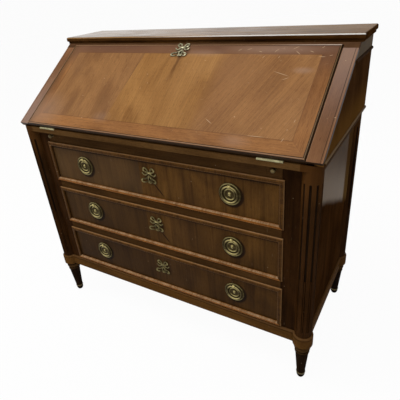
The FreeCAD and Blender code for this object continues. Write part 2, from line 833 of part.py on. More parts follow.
def drawer_frame(lip_z):
    strips = moulded_frame(lip_w, LIP_H, FRAME_W, drawer_frame_profile(), FRAME_H)
    return [upright(strip, 0, panel_front_y, lip_z + LIP_H / 2) for strip in strips]


def drawer_box(lip_z):
    x1 = opening_x - SIDE_FIT
    x0 = x1 - BOX_SIDE_T
    y0 = panel_front_y + FRONT_T
    y1 = back_inner_y - BOX_BACK_GAP
    z0 = lip_z + LIP_OVERLAP + RUN_FIT
    z1 = z0 + box_h
    floor_z = z0 + BOX_BOTTOM_UP
    front_low = lip_z + LIP_OVERLAP + FRONT_FIT
    side = box(x0, x1, y0, y1, max(z0, front_low), z1)
    back = box(-x0, x0, y1 - BOX_SIDE_T, y1, floor_z + BOX_BOTTOM_T, z1)
    bottom = box(-x0, x0, y0, y1, floor_z, floor_z + BOX_BOTTOM_T)
    return both_sides(side) + [back, bottom]


def drawer_lock(lip_z):
    y0 = panel_front_y + FRONT_T
    z = brass_z(lip_z)
    case = box(-LOCK_W / 2, LOCK_W / 2, y0, y0 + LOCK_T, z - LOCK_H / 2, z + LOCK_H / 2)
    pin = Part.makeCylinder(LOCK_PIN_R, FRONT_T, V(0, panel_front_y, z), V(0, 1, 0))
    return case.fuse(pin)


def back_plate():
    # Concentric turned plate with the lug that the ring hangs from, drawn with y up, z out
    rim_in = PLATE_R - RIM_W
    bead_out = INNER_BEAD_R + INNER_BEAD_W / 2
    bead_in = INNER_BEAD_R - INNER_BEAD_W / 2
    plate = turned([
        (0, 0), (PLATE_R, 0), (PLATE_R, PLATE_T),
        ((PLATE_R - RIM_W / 2, RIM_H), (rim_in, PLATE_T)), (bead_out, PLATE_T),
        ((INNER_BEAD_R, INNER_BEAD_H), (bead_in, DISH_T)), (BOSS_R, DISH_T),
        dome(BOSS_R, DISH_T, BOSS_H),
    ])
    lug_r = RING_WIRE_R + LUG_FIT + LUG_WALL
    lug = cylinder_x(lug_r, -LUG_W / 2, LUG_W / 2, RING_R, RING_STAND)
    neck_z = PLATE_T / 2
    neck = Part.makeBox(LUG_W, 2 * lug_r, RING_STAND - neck_z, V(-LUG_W / 2, RING_R - lug_r, neck_z))
    eye = cylinder_x(RING_WIRE_R + LUG_FIT, -LUG_W, LUG_W, RING_R, RING_STAND)
    return plate.fuse(neck.fuse(lug).cut(eye)).removeSplitter()


def ring_pull():
    return Part.makeTorus(RING_R, RING_WIRE_R, V(0, 0, RING_STAND))


def ellipse_leaf(radii, at, turn):
    edge = Part.Ellipse(ORIGIN, max(radii), min(radii)).toShape()
    leaf = Part.Face(Part.Wire([edge])).extrude(V(0, 0, ESC_T))
    leaf.rotate(ORIGIN, Z_AXIS, turn)
    return moved(leaf, at[0], at[1], 0)


def ribbon_loop(radii, at, turn):
    inner = (radii[0] - ESC_STRAND, radii[1] - ESC_STRAND)
    return ellipse_leaf(radii, at, turn).cut(ellipse_leaf(inner, at, turn))


def bow_escutcheon():
    # Keyhole plate under a ribbon bow with two pairs of loops and two tails
    plate = ellipse_leaf(ESC_PLATE, (0, 0), 90)
    knot = ellipse_leaf(ESC_KNOT, (0, ESC_KNOT_UP), 0)
    loops = [
        ribbon_loop(ESC_UPPER_LOOP, ESC_UPPER_AT, ESC_UPPER_TURN),
        ribbon_loop(ESC_SIDE_LOOP, ESC_SIDE_AT, ESC_SIDE_TURN),
        ribbon_loop(ESC_TAIL_LOOP, ESC_TAIL_AT, ESC_TAIL_TURN),
    ]
    ribbons = [piece for loop in loops for piece in both_sides(loop)]
    stem = Part.makeBox(2 * ESC_STRAND, ESC_KNOT_UP, ESC_T, V(-ESC_STRAND, 0, 0))
    bow = plate.fuse([knot, stem] + ribbons)
    return bow.cut(keyhole(ESC_T))


def drawer_brasses(lip_z):
    z = brass_z(lip_z)
    plate = upright(back_plate(), pull_x, panel_front_y, z)
    bow = upright(bow_escutcheon(), 0, panel_front_y, z)
    return both_sides(plate) + [bow]


# Pigeonholes and small drawers

def nest_bay_x(k):
    return -upper_side_x + NEST_T + k * (nest_bay_w + NEST_T)


def nest_shelf_z():
    return bed_z + NEST_T + NEST_DRAWER_H


def nest_case():
    x = upper_side_x
    top = nest_top_z
    shelf = nest_shelf_z()
    inner = x - NEST_T
    level_zs = (bed_z, shelf, top - NEST_T)
    levels = [box(-inner, inner, nest_front_y, nest_back_y, z, z + NEST_T) for z in level_zs]
    ends = both_sides(box(inner, x, nest_front_y, nest_back_y, bed_z, top))
    uprights = []
    for k in range(1, NEST_DRAWERS):
        x0 = nest_bay_x(k) - NEST_T
        uprights.append(box(x0, x0 + NEST_T, nest_front_y, nest_back_y, bed_z + NEST_T, shelf))
    hole_w = (2 * inner - (NEST_HOLES - 1) * NEST_T) / NEST_HOLES
    for k in range(NEST_HOLES):
        x0 = -inner + k * (hole_w + NEST_T)
        low = top - NEST_T - VALANCE_H
        arch = ((x0 + hole_w / 2, low + VALANCE_RISE), (x0 + hole_w - VALANCE_RISE, low))
        uprights.append(prism_y([
            (x0, top - NEST_T), (x0, low), (x0 + VALANCE_RISE, low), arch,
            (x0 + hole_w, low), (x0 + hole_w, top - NEST_T),
        ], nest_front_y, nest_front_y + NEST_T))
        if k:
            uprights.append(box(x0 - NEST_T, x0, nest_front_y, nest_back_y, shelf + NEST_T, top - NEST_T))
    return levels + ends + uprights


def small_drawer(k):
    x0 = nest_bay_x(k) + SMALL_FIT
    x1 = nest_bay_x(k) + nest_bay_w - SMALL_FIT
    z0 = bed_z + NEST_T + SMALL_FIT
    z1 = nest_shelf_z() - SMALL_FIT
    y0 = nest_front_y
    y1 = nest_back_y - SMALL_BACK_GAP
    inner_y = y0 + SMALL_FRONT_T
    front = box(x0, x1, y0, inner_y, z0, z1)
    sides = [box(x, x + SMALL_T, inner_y, y1, z0, z1) for x in (x0, x1 - SMALL_T)]
    back = box(x0 + SMALL_T, x1 - SMALL_T, y1 - SMALL_T, y1, z0, z1)
    floor = box(x0 + SMALL_T, x1 - SMALL_T, inner_y, y1 - SMALL_T, z0, z0 + SMALL_T)
    knob = turned_knob(
        SMALL_KNOB_R, SMALL_KNOB_NECK_R, SMALL_KNOB_NECK_L, SMALL_KNOB_FOOT_R, SMALL_KNOB_FOOT_T)
    return [front, back, floor] + sides + [moved(knob, (x0 + x1) / 2, y0, (z0 + z1) / 2)]


# All pieces by name

def carcass_pieces():
    plinth_rails, plinth_blocks = plinth_pieces()
    leg = turned_leg()
    collar = leg_collar()
    return {
        "top_board": [top_board()],
        "upper_side_right": [upper_side()],
        "upper_side_left": [mirrored(upper_side())],
        "slope_stiles": both_sides(slope_stile()),
        "head_rail": [head_rail()] + both_sides(head_lap()),
        "upper_back_board": [upper_back_board()],
        "side_beads": side_beads(),
        "front_posts": [corner_post((side, False)) for side in (1, -1)],
        "rear_posts": [corner_post((side, True)) for side in (1, -1)],
        "writing_bed": [writing_bed()],
        "bed_rail": [bed_rail()],
        "bed_frame_rails": bed_frame_rails(),
        "front_stiles": both_sides(front_stile()),
        "drawer_rails": drawer_rails(),
        "frieze_board": [frieze_board()],
        "side_panels": both_sides(side_panel()),
        "lower_back_board": [lower_back_board()],
        "bottom_board": [bottom_board()],
        "drawer_runners": drawer_runners() + loper_guides(),
        "plinth": plinth_rails + plinth_blocks,
        "turned_legs": [moved(leg, x, y, 0) for x, y in leg_places()],
        "leg_collars": [moved(collar, x, y, 0) for x, y in leg_places()],
        "pigeonhole_case": nest_case(),
        "hinge_fixed_leaves": both_sides(hinge_fixed_leaf()) + both_sides(hinge_pin()),
    }


def lid_pieces():
    bow = moved(bow_escutcheon(), 0, lid_key_t, LID_T)
    return {
        "lid_panel": [lid_panel()],
        "lid_edge_moulding": lid_edge_moulding(),
        "lid_leather": [on_slope(leather_on_lid(LEATHER_T))],
        "lid_escutcheon": [on_slope(bow)],
        "lid_lock": [lid_lock()],
        "hinge_lid_leaves": both_sides(hinge_lid_leaf()),
    }


def loper_pieces():
    return {
        "loper_right": [loper()],
        "loper_left": [mirrored(loper())],
        "loper_knob_right": [loper_knob()],
        "loper_knob_left": [mirrored(loper_knob())],
    }


def drawer_pieces():
    pieces = {}
    for level, lip_z in zip(("lower", "middle", "upper"), lip_zs):
        ring = upright(ring_pull(), pull_x, panel_front_y, brass_z(lip_z))
        pieces.update({
            "drawer_front_" + level: [drawer_front(lip_z)],
            "drawer_frame_" + level: drawer_frame(lip_z),
            "drawer_box_" + level: drawer_box(lip_z),
            "drawer_lock_" + level: [drawer_lock(lip_z)],
            "drawer_brasses_" + level: drawer_brasses(lip_z),
            "ring_pull_" + level + "_right": [ring],
            "ring_pull_" + level + "_left": [mirrored(ring)],
        })
    return pieces


def small_drawer_pieces():
    return {"small_drawer_%d" % (k + 1): small_drawer(k) for k in range(NEST_DRAWERS)}


def all_pieces():
    pieces = {}
    for group in (carcass_pieces, lid_pieces, loper_pieces, drawer_pieces, small_drawer_pieces):
        pieces.update(group())
    return pieces


def main():
    os.makedirs("parts", exist_ok=True)
    for node, shapes in all_pieces().items():
        finished(shapes).exportStep("parts/" + node + ".step")


if __name__ == "__main__":
    main()
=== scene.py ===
import math

import bpy
from mathutils import Matrix, Vector


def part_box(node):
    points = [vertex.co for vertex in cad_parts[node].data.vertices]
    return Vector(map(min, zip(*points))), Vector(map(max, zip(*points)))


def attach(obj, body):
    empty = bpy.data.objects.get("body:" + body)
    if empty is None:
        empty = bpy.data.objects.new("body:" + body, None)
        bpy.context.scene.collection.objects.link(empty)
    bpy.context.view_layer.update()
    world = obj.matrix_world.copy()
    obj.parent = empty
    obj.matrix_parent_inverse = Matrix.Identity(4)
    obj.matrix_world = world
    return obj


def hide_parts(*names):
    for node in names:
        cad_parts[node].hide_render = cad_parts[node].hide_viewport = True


# Slant-front desk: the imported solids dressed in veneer, polish and aged brass, with the
# cast mounts modelled in full. Metres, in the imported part's own frame.

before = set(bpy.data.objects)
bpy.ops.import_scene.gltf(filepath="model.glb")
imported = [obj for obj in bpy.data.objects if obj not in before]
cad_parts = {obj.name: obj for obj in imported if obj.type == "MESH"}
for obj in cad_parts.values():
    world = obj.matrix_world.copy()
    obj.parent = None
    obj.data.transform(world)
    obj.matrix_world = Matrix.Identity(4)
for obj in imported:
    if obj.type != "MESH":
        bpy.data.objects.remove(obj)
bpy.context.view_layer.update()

# Sloping lid, seen in its own plane: x across, then up the slope from the hinge
SLOPE = math.radians(35.1)
HINGE = Vector((0.0, -0.23225, 0.7236))
LID_HALF = 0.466
LID_FOOT = 0.003
LID_TOP = 0.3485
LID_FACE = 0.016
LID_KEY = 0.3149
SIDE_CREST = (0.0028, 0.0050)
END_CREST = (0.0012, 0.0046)
EDGE_GROOVE = (0.0054, 0.0070)
BAND_SIDE = 0.042
BAND_TOP = 0.0365
BAND_FOOT = 0.045
BAND_DARKENS_FROM = 0.22
LEAF_LEFT = -0.130
LEAF_RIGHT = 0.152
LEAF_TILT = math.radians(22)
LEAF_LEAN = 0.08
LEAF_FADE = 0.03
STILE_IN = 0.467
STILE_OUT = 0.505
STILE_QUIRK = 0.4975
STILE_FACE = 0.012
LEATHER_IN = 0.062
LEATHER_FOOT = 0.046
GILT_LINES = (0.008, 0.017)
GILT_BEADS = 0.0125

# Wear on the lid: middle, reach and share of each haze, the large one at the lower left a painted
# reflection; middle, turn and half length of each scratch; middle and reach of each place full of fine
# scratches
LID_HAZE_AND_SHEEN = (
    ((-0.43, 0.05), (0.13, 0.11), 0.38), ((-0.17, 0.057), (0.05, 0.03), 0.25),
    ((0.39, 0.259), (0.040, 0.016), 0.45), ((0.282, 0.03), (0.06, 0.03), 0.3),
    ((0.30, 0.330), (0.20, 0.028), 0.45), ((0.08, 0.315), (0.10, 0.02), 0.3))
LID_SCRATCHES = (
    ((0.336, 0.246), -0.32, 0.030), ((0.352, 0.230), 0.5, 0.012), ((0.191, 0.080), -0.55, 0.017),
    ((0.332, 0.050), 0.02, 0.028), ((0.30, 0.325), 0.9, 0.010), ((0.36, 0.318), -0.7, 0.012),
    ((0.22, 0.330), 0.4, 0.010), ((0.40, 0.048), 1.2, 0.008), ((0.192, 0.327), 0.7, 0.009),
    ((0.270, 0.302), 0.9, 0.006), ((0.313, 0.302), 1.3, 0.005), ((0.350, 0.335), 0.6, 0.011),
    ((0.425, 0.305), 0.0, 0.011), ((0.446, 0.310), 0.3, 0.006), ((0.420, 0.337), 0.8, 0.006),
    ((0.413, 0.104), 1.4, 0.006), ((0.395, 0.322), -0.4, 0.008), ((0.255, 0.321), -0.2, 0.007))
LID_RUBBED = (((0.29, 0.325), (0.22, 0.05)), ((0.38, 0.03), (0.09, 0.05)))
SCRATCH_HALF = 0.0011
SCRATCH_STEP = 0.004

# Run of old polish under the lid's bow: half width, lower fade and upper end
STAIN_HALF = (0.001, 0.008)
STAIN_FADE = (0.185, 0.275)
STAIN_HEAD = (0.304, 0.309)

# Painted shade round the keyholes: shift and reach of the painted shadow about the mount, and the dark of the
# hole itself
LID_MOUNT_SHADOW = (0.004, 0.032)
DRAWER_MOUNT_SHADOW = (0.005, 0.030)
MOUNT_SHADOW_RISE = 0.003
HOLE_DROP = 0.002
HOLE_REACH = (0.008, 0.012)

# Drawers and their brass
LEVELS = ("lower", "middle", "upper")
LIP_HALF_W = 0.414
LIP_H = 0.1426
LIP_FOOT = {"lower": 0.1885, "middle": 0.3581, "upper": 0.5277}
LIP_PITCH = 0.1696
KEY_RISE = LIP_H / 2 + 0.0035
PULL_X = 0.264
PANEL_FACE_Y = -0.21505
RING_R = 0.0233
RING_WIRE = 0.0022
RING_STAND = 0.0048
FRAME_W = 0.012
FRAME_CROWN = (FRAME_W - 0.0032, FRAME_W - 0.0022)
FRAME_QUIRK = (FRAME_W - 0.0058, FRAME_W - 0.0046)
# Offset below the frame's top member of the painted shadow on each drawer panel
UNDER_FRAME = 0.0052
# Edge of the left part of each drawer front: greyer there as a painted reflection, and darker low down
LEFT_TONE_EDGE = -0.036
# Dark diagonal streak beside each drawer's bow: middle, reach and turn
BOW_STREAK_AT = (0.027, KEY_RISE - 0.034)
BOW_STREAK_REACH = (0.036, 0.0040)
BOW_STREAK_TURN = math.radians(-50)
# Painted shadow to the lower right of each pull: middle and reach
PULL_SHADOW = (0.0035, KEY_RISE - 0.004)
PULL_SHADOW_R = 0.0400

# Case
POST_X = 0.4785
POST_Y = 0.2095
POST_MID_Y = -0.00025
POST_R = 0.0245
SIDE_BEAD_Z = 0.894
BED_BEAD_Z = 0.7236
PLINTH_TOP = 0.185
SHEEN_FALL = 0.475
SHEEN_EDGE = 0.512
LEG_TIP = 0.017
LEG_NECK = (0.112, 0.120)
LEG_QUIRKS = ((0.1365, 0.1395), (0.1180, 0.1220), (0.1070, 0.1095))


def srgb(red, green, blue):
    # Linear colour with full alpha of a colour given in 0 to 255 steps
    shades = [c / 255 for c in (red, green, blue)]
    return tuple(c / 12.92 if c <= 0.04045 else ((c + 0.055) / 1.055) ** 2.4 for c in shades) + (1.0,)


# Colours that many finishes share
PALE_MARK = srgb(196, 168, 134)
BLOOM = srgb(165, 125, 88)
# Pale haze, and the colour of the painted reflection at the lid's lower left
HAZE_AND_SHEEN = srgb(162, 132, 112)
# Near black: painted shade in hollows, holes and under parts, and the black of the feet
BLACK_AND_SHADE = srgb(22, 13, 6)


# Shader node helpers

class Bench:
    # Holds the node tree that the helpers add to, of one group, finish or world at a time
    tree = None


def link(value, socket):
    Bench.tree.links.new(value, socket)


def add_node(kind, inputs=None, **settings):
    made = Bench.tree.nodes.new("ShaderNode" + kind)
    for name, value in settings.items():
        setattr(made, name, value)
    for key, value in (inputs or {}).items():
        socket = made.inputs[key]
        if isinstance(value, bpy.types.NodeSocket):
            link(value, socket)
        else:
            socket.default_value = value
    return made


def maths(operation, *values, clamp=False):
    return add_node("Math", dict(enumerate(values)), operation=operation, use_clamp=clamp).outputs[0]


def worked(operation):
    # A short call for one operation of the Math node
    def work(*values):
        return maths(operation, *values)

    return work


plus, minus, times, divided = [worked(kind) for kind in ("ADD", "SUBTRACT", "MULTIPLY", "DIVIDE")]
least, most, size_of = [worked(kind) for kind in ("MINIMUM", "MAXIMUM", "ABSOLUTE")]
above, below, scaled = [worked(kind) for kind in ("GREATER_THAN", "LESS_THAN", "MULTIPLY_ADD")]


def mixed(share, first, second, blend="MIX"):
    # The Mix node keeps its colours in sockets 6 and 7
    return add_node("Mix", {0: share, 6: first, 7: second}, data_type="RGBA", blend_type=blend).outputs[2]


def mixed_vector(share, first, second):
    # The Mix node keeps its vectors in sockets 4 and 5
    return add_node("Mix", {0: share, 4: first, 5: second}, data_type="VECTOR").outputs[1]


def ramp(value, low, high, to_low=0.0, to_high=1.0, smooth=True):
    ends = {"Value": value, "From Min": low, "From Max": high, "To Min": to_low, "To Max": to_high}
    kind = "SMOOTHSTEP" if smooth else "LINEAR"
    return add_node("MapRange", ends, interpolation_type=kind, clamp=True).outputs[0]


def noise(vector, scale, detail=3.0, roughness=0.55, distortion=0.0):
    inputs = {"Vector": vector, "Scale": scale, "Detail": detail, "Roughness": roughness}
    return add_node("TexNoise", {**inputs, "Distortion": distortion}).outputs["Fac"]


def length_of(vector):
    return add_node("VectorMath", {0: vector}, operation="LENGTH").outputs["Value"]


def stretched(vector, stretch, shift=None):
    longer = add_node("VectorMath", {0: vector, 1: stretch}, operation="MULTIPLY").outputs[0]
    if shift is None:
        return longer
    return add_node("VectorMath", {0: longer, 1: shift}, operation="ADD").outputs[0]


def object_place():
    return add_node("TexCoord").outputs["Object"]


def seen_from(vector, middle=(0, 0, 0), turn=(0, 0, 0), size=(1, 1, 1)):
    # The same place in a frame that is moved, turned and scaled
    inputs = {"Vector": vector, "Location": middle, "Rotation": turn, "Scale": size}
    return add_node("Mapping", inputs, vector_type="TEXTURE").outputs[0]


def lid_place():
    # Across, up the slope from the hinge, and out of it
    return seen_from(object_place(), HINGE, (SLOPE, 0, 0))


def parts_of(vector):
    return add_node("SeparateXYZ", {0: vector}).outputs[:]


def object_axes():
    return parts_of(object_place())


def joined(x, y, z):
    return add_node("CombineXYZ", {0: x, 1: y, 2: z}).outputs[0]


def grain_along(vector, axis):
    # The same place with the way of the grain as its last part
    x, y, z = parts_of(vector)
    if axis == "x":
        return joined(y, z, x)
    if axis == "y":
        return joined(x, z, y)
    return vector


# Effects that several finishes share

def shader_group(name, inputs, outputs):
    group = bpy.data.node_groups.new(name, "ShaderNodeTree")
    for title, kind, value in inputs:
        socket = group.interface.new_socket(title, in_out="INPUT", socket_type="NodeSocket" + kind)
        if value is not None:
            socket.default_value = value
    for title, kind in outputs:
        group.interface.new_socket(title, in_out="OUTPUT", socket_type="NodeSocket" + kind)
    Bench.tree = group
    return group, group.nodes.new("NodeGroupInput").outputs, group.nodes.new("NodeGroupOutput").inputs


def veneer_figure_group():
    # Broad clouds, streaks, fibres and pores, each a noise drawn out along the grain
    group, given, out = shader_group(
        "veneer_figure",
        [("Grain", "Vector", None), ("Light", "Color", (0.3, 0.2, 0.1, 1)),
         ("Dark", "Color", (0.1, 0.05, 0.02, 1)), ("Cloud", "Float", 0.5), ("Streak", "Float", 0.5),
         ("Seed", "Float", 0.0)],
        [("Color", "Color"), ("Dullness", "Float"), ("Height", "Float")])
    shift = joined(given["Seed"], times(given["Seed"], 1.7), given["Seed"])

    def drawn_out(across, along, *settings):
        return noise(stretched(given["Grain"], (across, across, along), shift), 1.0, *settings)

    cloud = drawn_out(11, 4.2, 4.0, 0.5, 0.8)
    streak = drawn_out(85, 2.6, 5.0, 0.6, 0.35)
    fibre = drawn_out(520, 11, 2.0, 0.6)
    pore = drawn_out(1500, 70, 1.0, 0.5)
    cloud_share = times(ramp(cloud, 0.32, 0.68), given["Cloud"])
    streak_share = times(ramp(streak, 0.42, 0.72), given["Streak"])
    shade = maths("ADD", cloud_share, streak_share, clamp=True)
    colour = mixed(shade, given["Light"], given["Dark"])
    fibre_tone = ramp(fibre, 0.3, 0.7, 0.84, 1.14, smooth=False)
    colour = mixed(1.0, colour, joined(fibre_tone, fibre_tone, fibre_tone), "MULTIPLY")
    pore_share = ramp(pore, 0.58, 0.68, 0.0, 0.45)
    link(mixed(pore_share, colour, given["Dark"], "MULTIPLY"), out["Color"])
    dull = plus(times(streak, 0.5), times(fibre, 0.5))
    link(dull, out["Dullness"])
    link(minus(times(fibre, 0.7), pore_share), out["Height"])
    return group


def use_marks_group():
    # Small pale chips, fine straight scratches and patches where the polish has gone dull
    group, given, out = shader_group(
        "use_marks", [("Place", "Vector", None), ("Seed", "Float", 0.0)],
        [("Chips", "Float"), ("Scratches", "Float"), ("Bloom", "Float")])
    shift = joined(given["Seed"], given["Seed"], given["Seed"])
    place = stretched(given["Place"], (1, 1, 1), shift)

    def scattered(vector, scale, core, edge, rare):
        # Cells of which only the rare ones carry a mark about their middle
        cells = add_node("TexVoronoi", {"Vector": vector, "Scale": scale}, feature="F1")
        chance = add_node("SeparateColor", {0: cells.outputs["Color"]}).outputs[0]
        near = ramp(cells.outputs["Distance"], core, edge, 1.0, 0.0)
        return times(near, ramp(chance, rare, rare + 0.015))

    link(scattered(place, 62.0, 0.05, 0.13, 0.94), out["Chips"])
    lines = []
    for turn, length in ((0.35, 0.055), (-0.6, 0.04), (1.25, 0.05)):
        way = seen_from(place, turn=(0, 0, turn), size=(length, SCRATCH_STEP, length))
        lines.append(scattered(way, 1.0, 0.04, 0.16, 0.9))
    link(most(lines[0], most(lines[1], lines[2])), out["Scratches"])
    link(ramp(noise(place, 5.5, 3.0), 0.42, 0.72), out["Bloom"])
    return group


def aged_brass_group():
    # Rise is 0 in the recesses, which keep their tarnish, and 1 on the rubbed high places; for the pulls and
    # rings it also carries a painted reflection, and for the bows painted glints
    group, given, out = shader_group(
        "aged_brass",
        [("Place", "Vector", None), ("Rise", "Float", 0.5), ("Bright", "Color", (0.7, 0.6, 0.35, 1)),
         ("Tarnish", "Color", (0.1, 0.08, 0.03, 1))],
        [("Color", "Color"), ("Roughness", "Float"), ("Metal", "Float"), ("Height", "Float")])
    patch = noise(given["Place"], 160.0, 4.0, 0.6)
    grit = noise(given["Place"], 1300.0, 2.0, 0.6)
    brightened = maths("ADD", given["Rise"], scaled(patch, 0.7, -0.35), clamp=True)
    link(mixed(brightened, given["Tarnish"], given["Bright"]), out["Color"])
    link(ramp(brightened, 0.2, 1.0, 0.3, 0.9), out["Metal"])
    link(scaled(grit, 0.1, scaled(brightened, -0.26, 0.52)), out["Roughness"])
    link(plus(grit, patch), out["Height"])
    return group


VENEER = veneer_figure_group()
MARKS = use_marks_group()
AGED_BRASS = aged_brass_group()


# Finishes

def new_finish(name):
    material = bpy.data.materials.new(name)
    material.use_nodes = True
    Bench.tree = material.node_tree
    return material, Bench.tree.nodes["Principled BSDF"]


def feed(value, shader, socket):
    link(value, shader.inputs[socket])


def bumped(shader, height, strength, depth):
    bump = add_node("Bump", {"Height": height, "Strength": strength, "Distance": depth})
    feed(bump.outputs["Normal"], shader, "Normal")


def polish(shader, specular, coat, coat_roughness):
    shader.inputs["Specular IOR Level"].default_value = specular
    shader.inputs["Coat Weight"].default_value = coat
    shader.inputs["Coat Roughness"].default_value = coat_roughness


def figure(grain, light, dark, cloud, streak, seed):
    inputs = {"Grain": grain, "Light": light, "Dark": dark, "Cloud": cloud, "Streak": streak, "Seed": seed}
    return add_node("Group", inputs, node_tree=VENEER).outputs


def use_marks(place, seed):
    return add_node("Group", {"Place": place, "Seed": seed}, node_tree=MARKS).outputs


def shaded(share, strength, colour, over):
    return mixed(times(share, strength), colour, over)


def marked(place, colour, chips, scratches, bloom, seed):
    # Colour with the marks of use laid over it
    marks = use_marks(place, seed)
    colour = shaded(marks["Bloom"], bloom, colour, BLOOM)
    colour = shaded(marks["Scratches"], scratches, colour, PALE_MARK)
    return shaded(marks["Chips"], chips, colour, PALE_MARK)


def wood_finish(name, paint, roughness=0.36, specular=0.0, coat=0.02, coat_roughness=0.12):
    # paint gives the colour, the wood's grain and, where the polish differs over the piece, its share
    material, shader = new_finish(name)
    colour, wood, gloss = paint()
    feed(colour, shader, "Base Color")
    rough = ramp(wood["Dullness"], 0.3, 0.7, roughness - 0.06, roughness + 0.1, False)
    feed(rough, shader, "Roughness")
    bumped(shader, wood["Height"], 0.12, 0.0004)
    polish(shader, specular, coat, coat_roughness)
    if gloss is not None:
        feed(gloss, shader, "Coat Weight")
    return material


def plain_veneer(name, axis, light, dark, cloud, streak, seed, tint=None, gloss=None, **settings):
    # One wood all over; tint changes its colour by place, and gloss its polish
    def paint():
        place = object_place()
        wood = figure(grain_along(place, axis), light, dark, cloud, streak, seed)
        colour = tint(wood["Color"]) if tint else wood["Color"]
        colour = marked(place, colour, 0.25, 0.08, 0.03, seed)
        return colour, wood, gloss() if gloss else None

    return wood_finish(name, paint, **settings)


def spot(across, along, at, reach, turn=0.0, core=0.0):
    # 1 in the middle of a turned ellipse, 0 past its edge
    near = seen_from(joined(across, along, 0.0), (*at, 0), (0, 0, turn), (*reach, 1))
    return ramp(length_of(near), core, 1.0, 1.0, 0.0)


def band_of(value, low, high, soft):
    # 1 between two values, with soft ends
    rising = ramp(value, low - soft, low + soft)
    return times(rising, ramp(value, high - soft, high + soft, 1.0, 0.0))


def keyhole_shade(x, up, key, mount_shadow, share, dark, colour):
    # Painted shadow in a ring about the mount, shifted right, and painted shade in the hole
    shift, reach = mount_shadow
    ring = spot(x, up, (shift, key + MOUNT_SHADOW_RISE), (reach, reach), 0.0, 0.5)
    colour = shaded(ring, share, colour, dark)
    hole = spot(x, up, (0, key - HOLE_DROP), HOLE_REACH, 0.0, 0.6)
    return shaded(hole, 0.97, colour, BLACK_AND_SHADE)


def lid_leaves(place, x, from_top):
    # Two leaves with their grain up the slope, and a slanting one that fades in on the right
    left = below(x, scaled(from_top, -LEAF_LEAN, LEAF_LEFT))
    light = mixed(left, srgb(159, 114, 64), srgb(149, 106, 64))
    dark = mixed(left, srgb(131, 89, 46), srgb(116, 78, 47))
    upright = figure(grain_along(place, "y"), light, dark, 0.8, 0.18, times(left, 3.1))
    tilted = add_node("Mapping", {"Vector": place, "Rotation": (0, 0, LEAF_TILT)}).outputs[0]
    slanting = figure(grain_along(tilted, "y"), srgb(155, 110, 67), srgb(127, 86, 51), 0.7, 0.14, 7.7)
    right = ramp(x, LEAF_RIGHT - LEAF_FADE, LEAF_RIGHT + LEAF_FADE)
    return mixed(right, upright["Color"], slanting["Color"]), upright


def lid_bands(place, x, up, end_band):
    # Crossbanding, darker towards the head and the left edge
    grain = mixed_vector(end_band, grain_along(place, "y"), grain_along(place, "x"))
    band = figure(grain, srgb(157, 107, 61), srgb(118, 76, 43), 0.7, 0.35, 21.0)
    colour = shaded(ramp(up, BAND_DARKENS_FROM, LID_TOP), 0.88, band["Color"], srgb(98, 68, 52))
    left_edge = ramp(x, BAND_SIDE - LID_HALF, -LID_HALF)
    return shaded(left_edge, 0.8, colour, srgb(88, 59, 36))


def lid_wear(place, x, up, colour):
    # A run of old polish under the bow, haze with a painted reflection at the lower left, scratches and
    # rubbed places
    wander = scaled(noise(place, 14.0, 2.0), 0.02, -0.006)
    beside = size_of(minus(x, wander))
    stain = times(ramp(beside, *STAIN_HALF, 1.0, 0.0), ramp(up, *STAIN_FADE))
    stain = times(stain, ramp(up, *STAIN_HEAD, 1.0, 0.0))
    colour = shaded(stain, 0.75, colour, srgb(86, 52, 24))
    # Pale haze; the large patch at the lower left is a painted reflection
    for at, reach, share in LID_HAZE_AND_SHEEN:
        colour = shaded(spot(x, up, at, reach), share, colour, HAZE_AND_SHEEN)
    for at, turn, half in LID_SCRATCHES:
        line = spot(x, up, at, (half, SCRATCH_HALF), turn, 0.4)
        colour = shaded(line, 0.7, colour, PALE_MARK)
    colour = marked(place, colour, 0.7, 0.3, 0.12, 2.0)
    fine = use_marks(stretched(place, (2.3, 2.3, 2.3)), 3.0)["Scratches"]
    brightened = most(*[spot(x, up, at, reach) for at, reach in LID_RUBBED])
    return shaded(times(brightened, fine), 0.9, colour, PALE_MARK)


def lid_veneer():
    # Leaves in mitred crossbanding, with a dark line where they meet
    def paint():
        place = lid_place()
        x, up = parts_of(place)[:2]
        from_top = minus(LID_TOP, up)
        side_share = divided(minus(LID_HALF, size_of(x)), BAND_SIDE)
        foot_share = divided(minus(up, LID_FOOT), BAND_FOOT)
        end_share = least(divided(from_top, BAND_TOP), foot_share)
        nearest = least(side_share, end_share)
        in_band = below(nearest, 1.0)
        on_end = minus(1.0, below(side_share, end_share))
        leaves, wood = lid_leaves(place, x, from_top)
        bands = lid_bands(place, x, up, times(in_band, on_end))
        colour = mixed(in_band, leaves, bands)
        line = ramp(size_of(minus(nearest, 1.0)), 0.01, 0.04, 0.45, 0.0)
        colour = mixed(line, colour, srgb(84, 50, 28))
        colour = lid_wear(place, x, up, colour)
        colour = keyhole_shade(x, up, LID_KEY, LID_MOUNT_SHADOW, 0.55, srgb(52, 32, 16), colour)
        return colour, wood, None

    return wood_finish("lid_veneer", paint, 0.42, 0.04, 0.02, 0.2)


def mitred_upright(half_w, from_foot, height):
    # 1 on the upright members of a mitred frame, 0 on the level ones
    from_side = minus(half_w, size_of(object_axes()[0]))
    from_end = least(from_foot, minus(height, from_foot))
    return below(from_side, from_end)


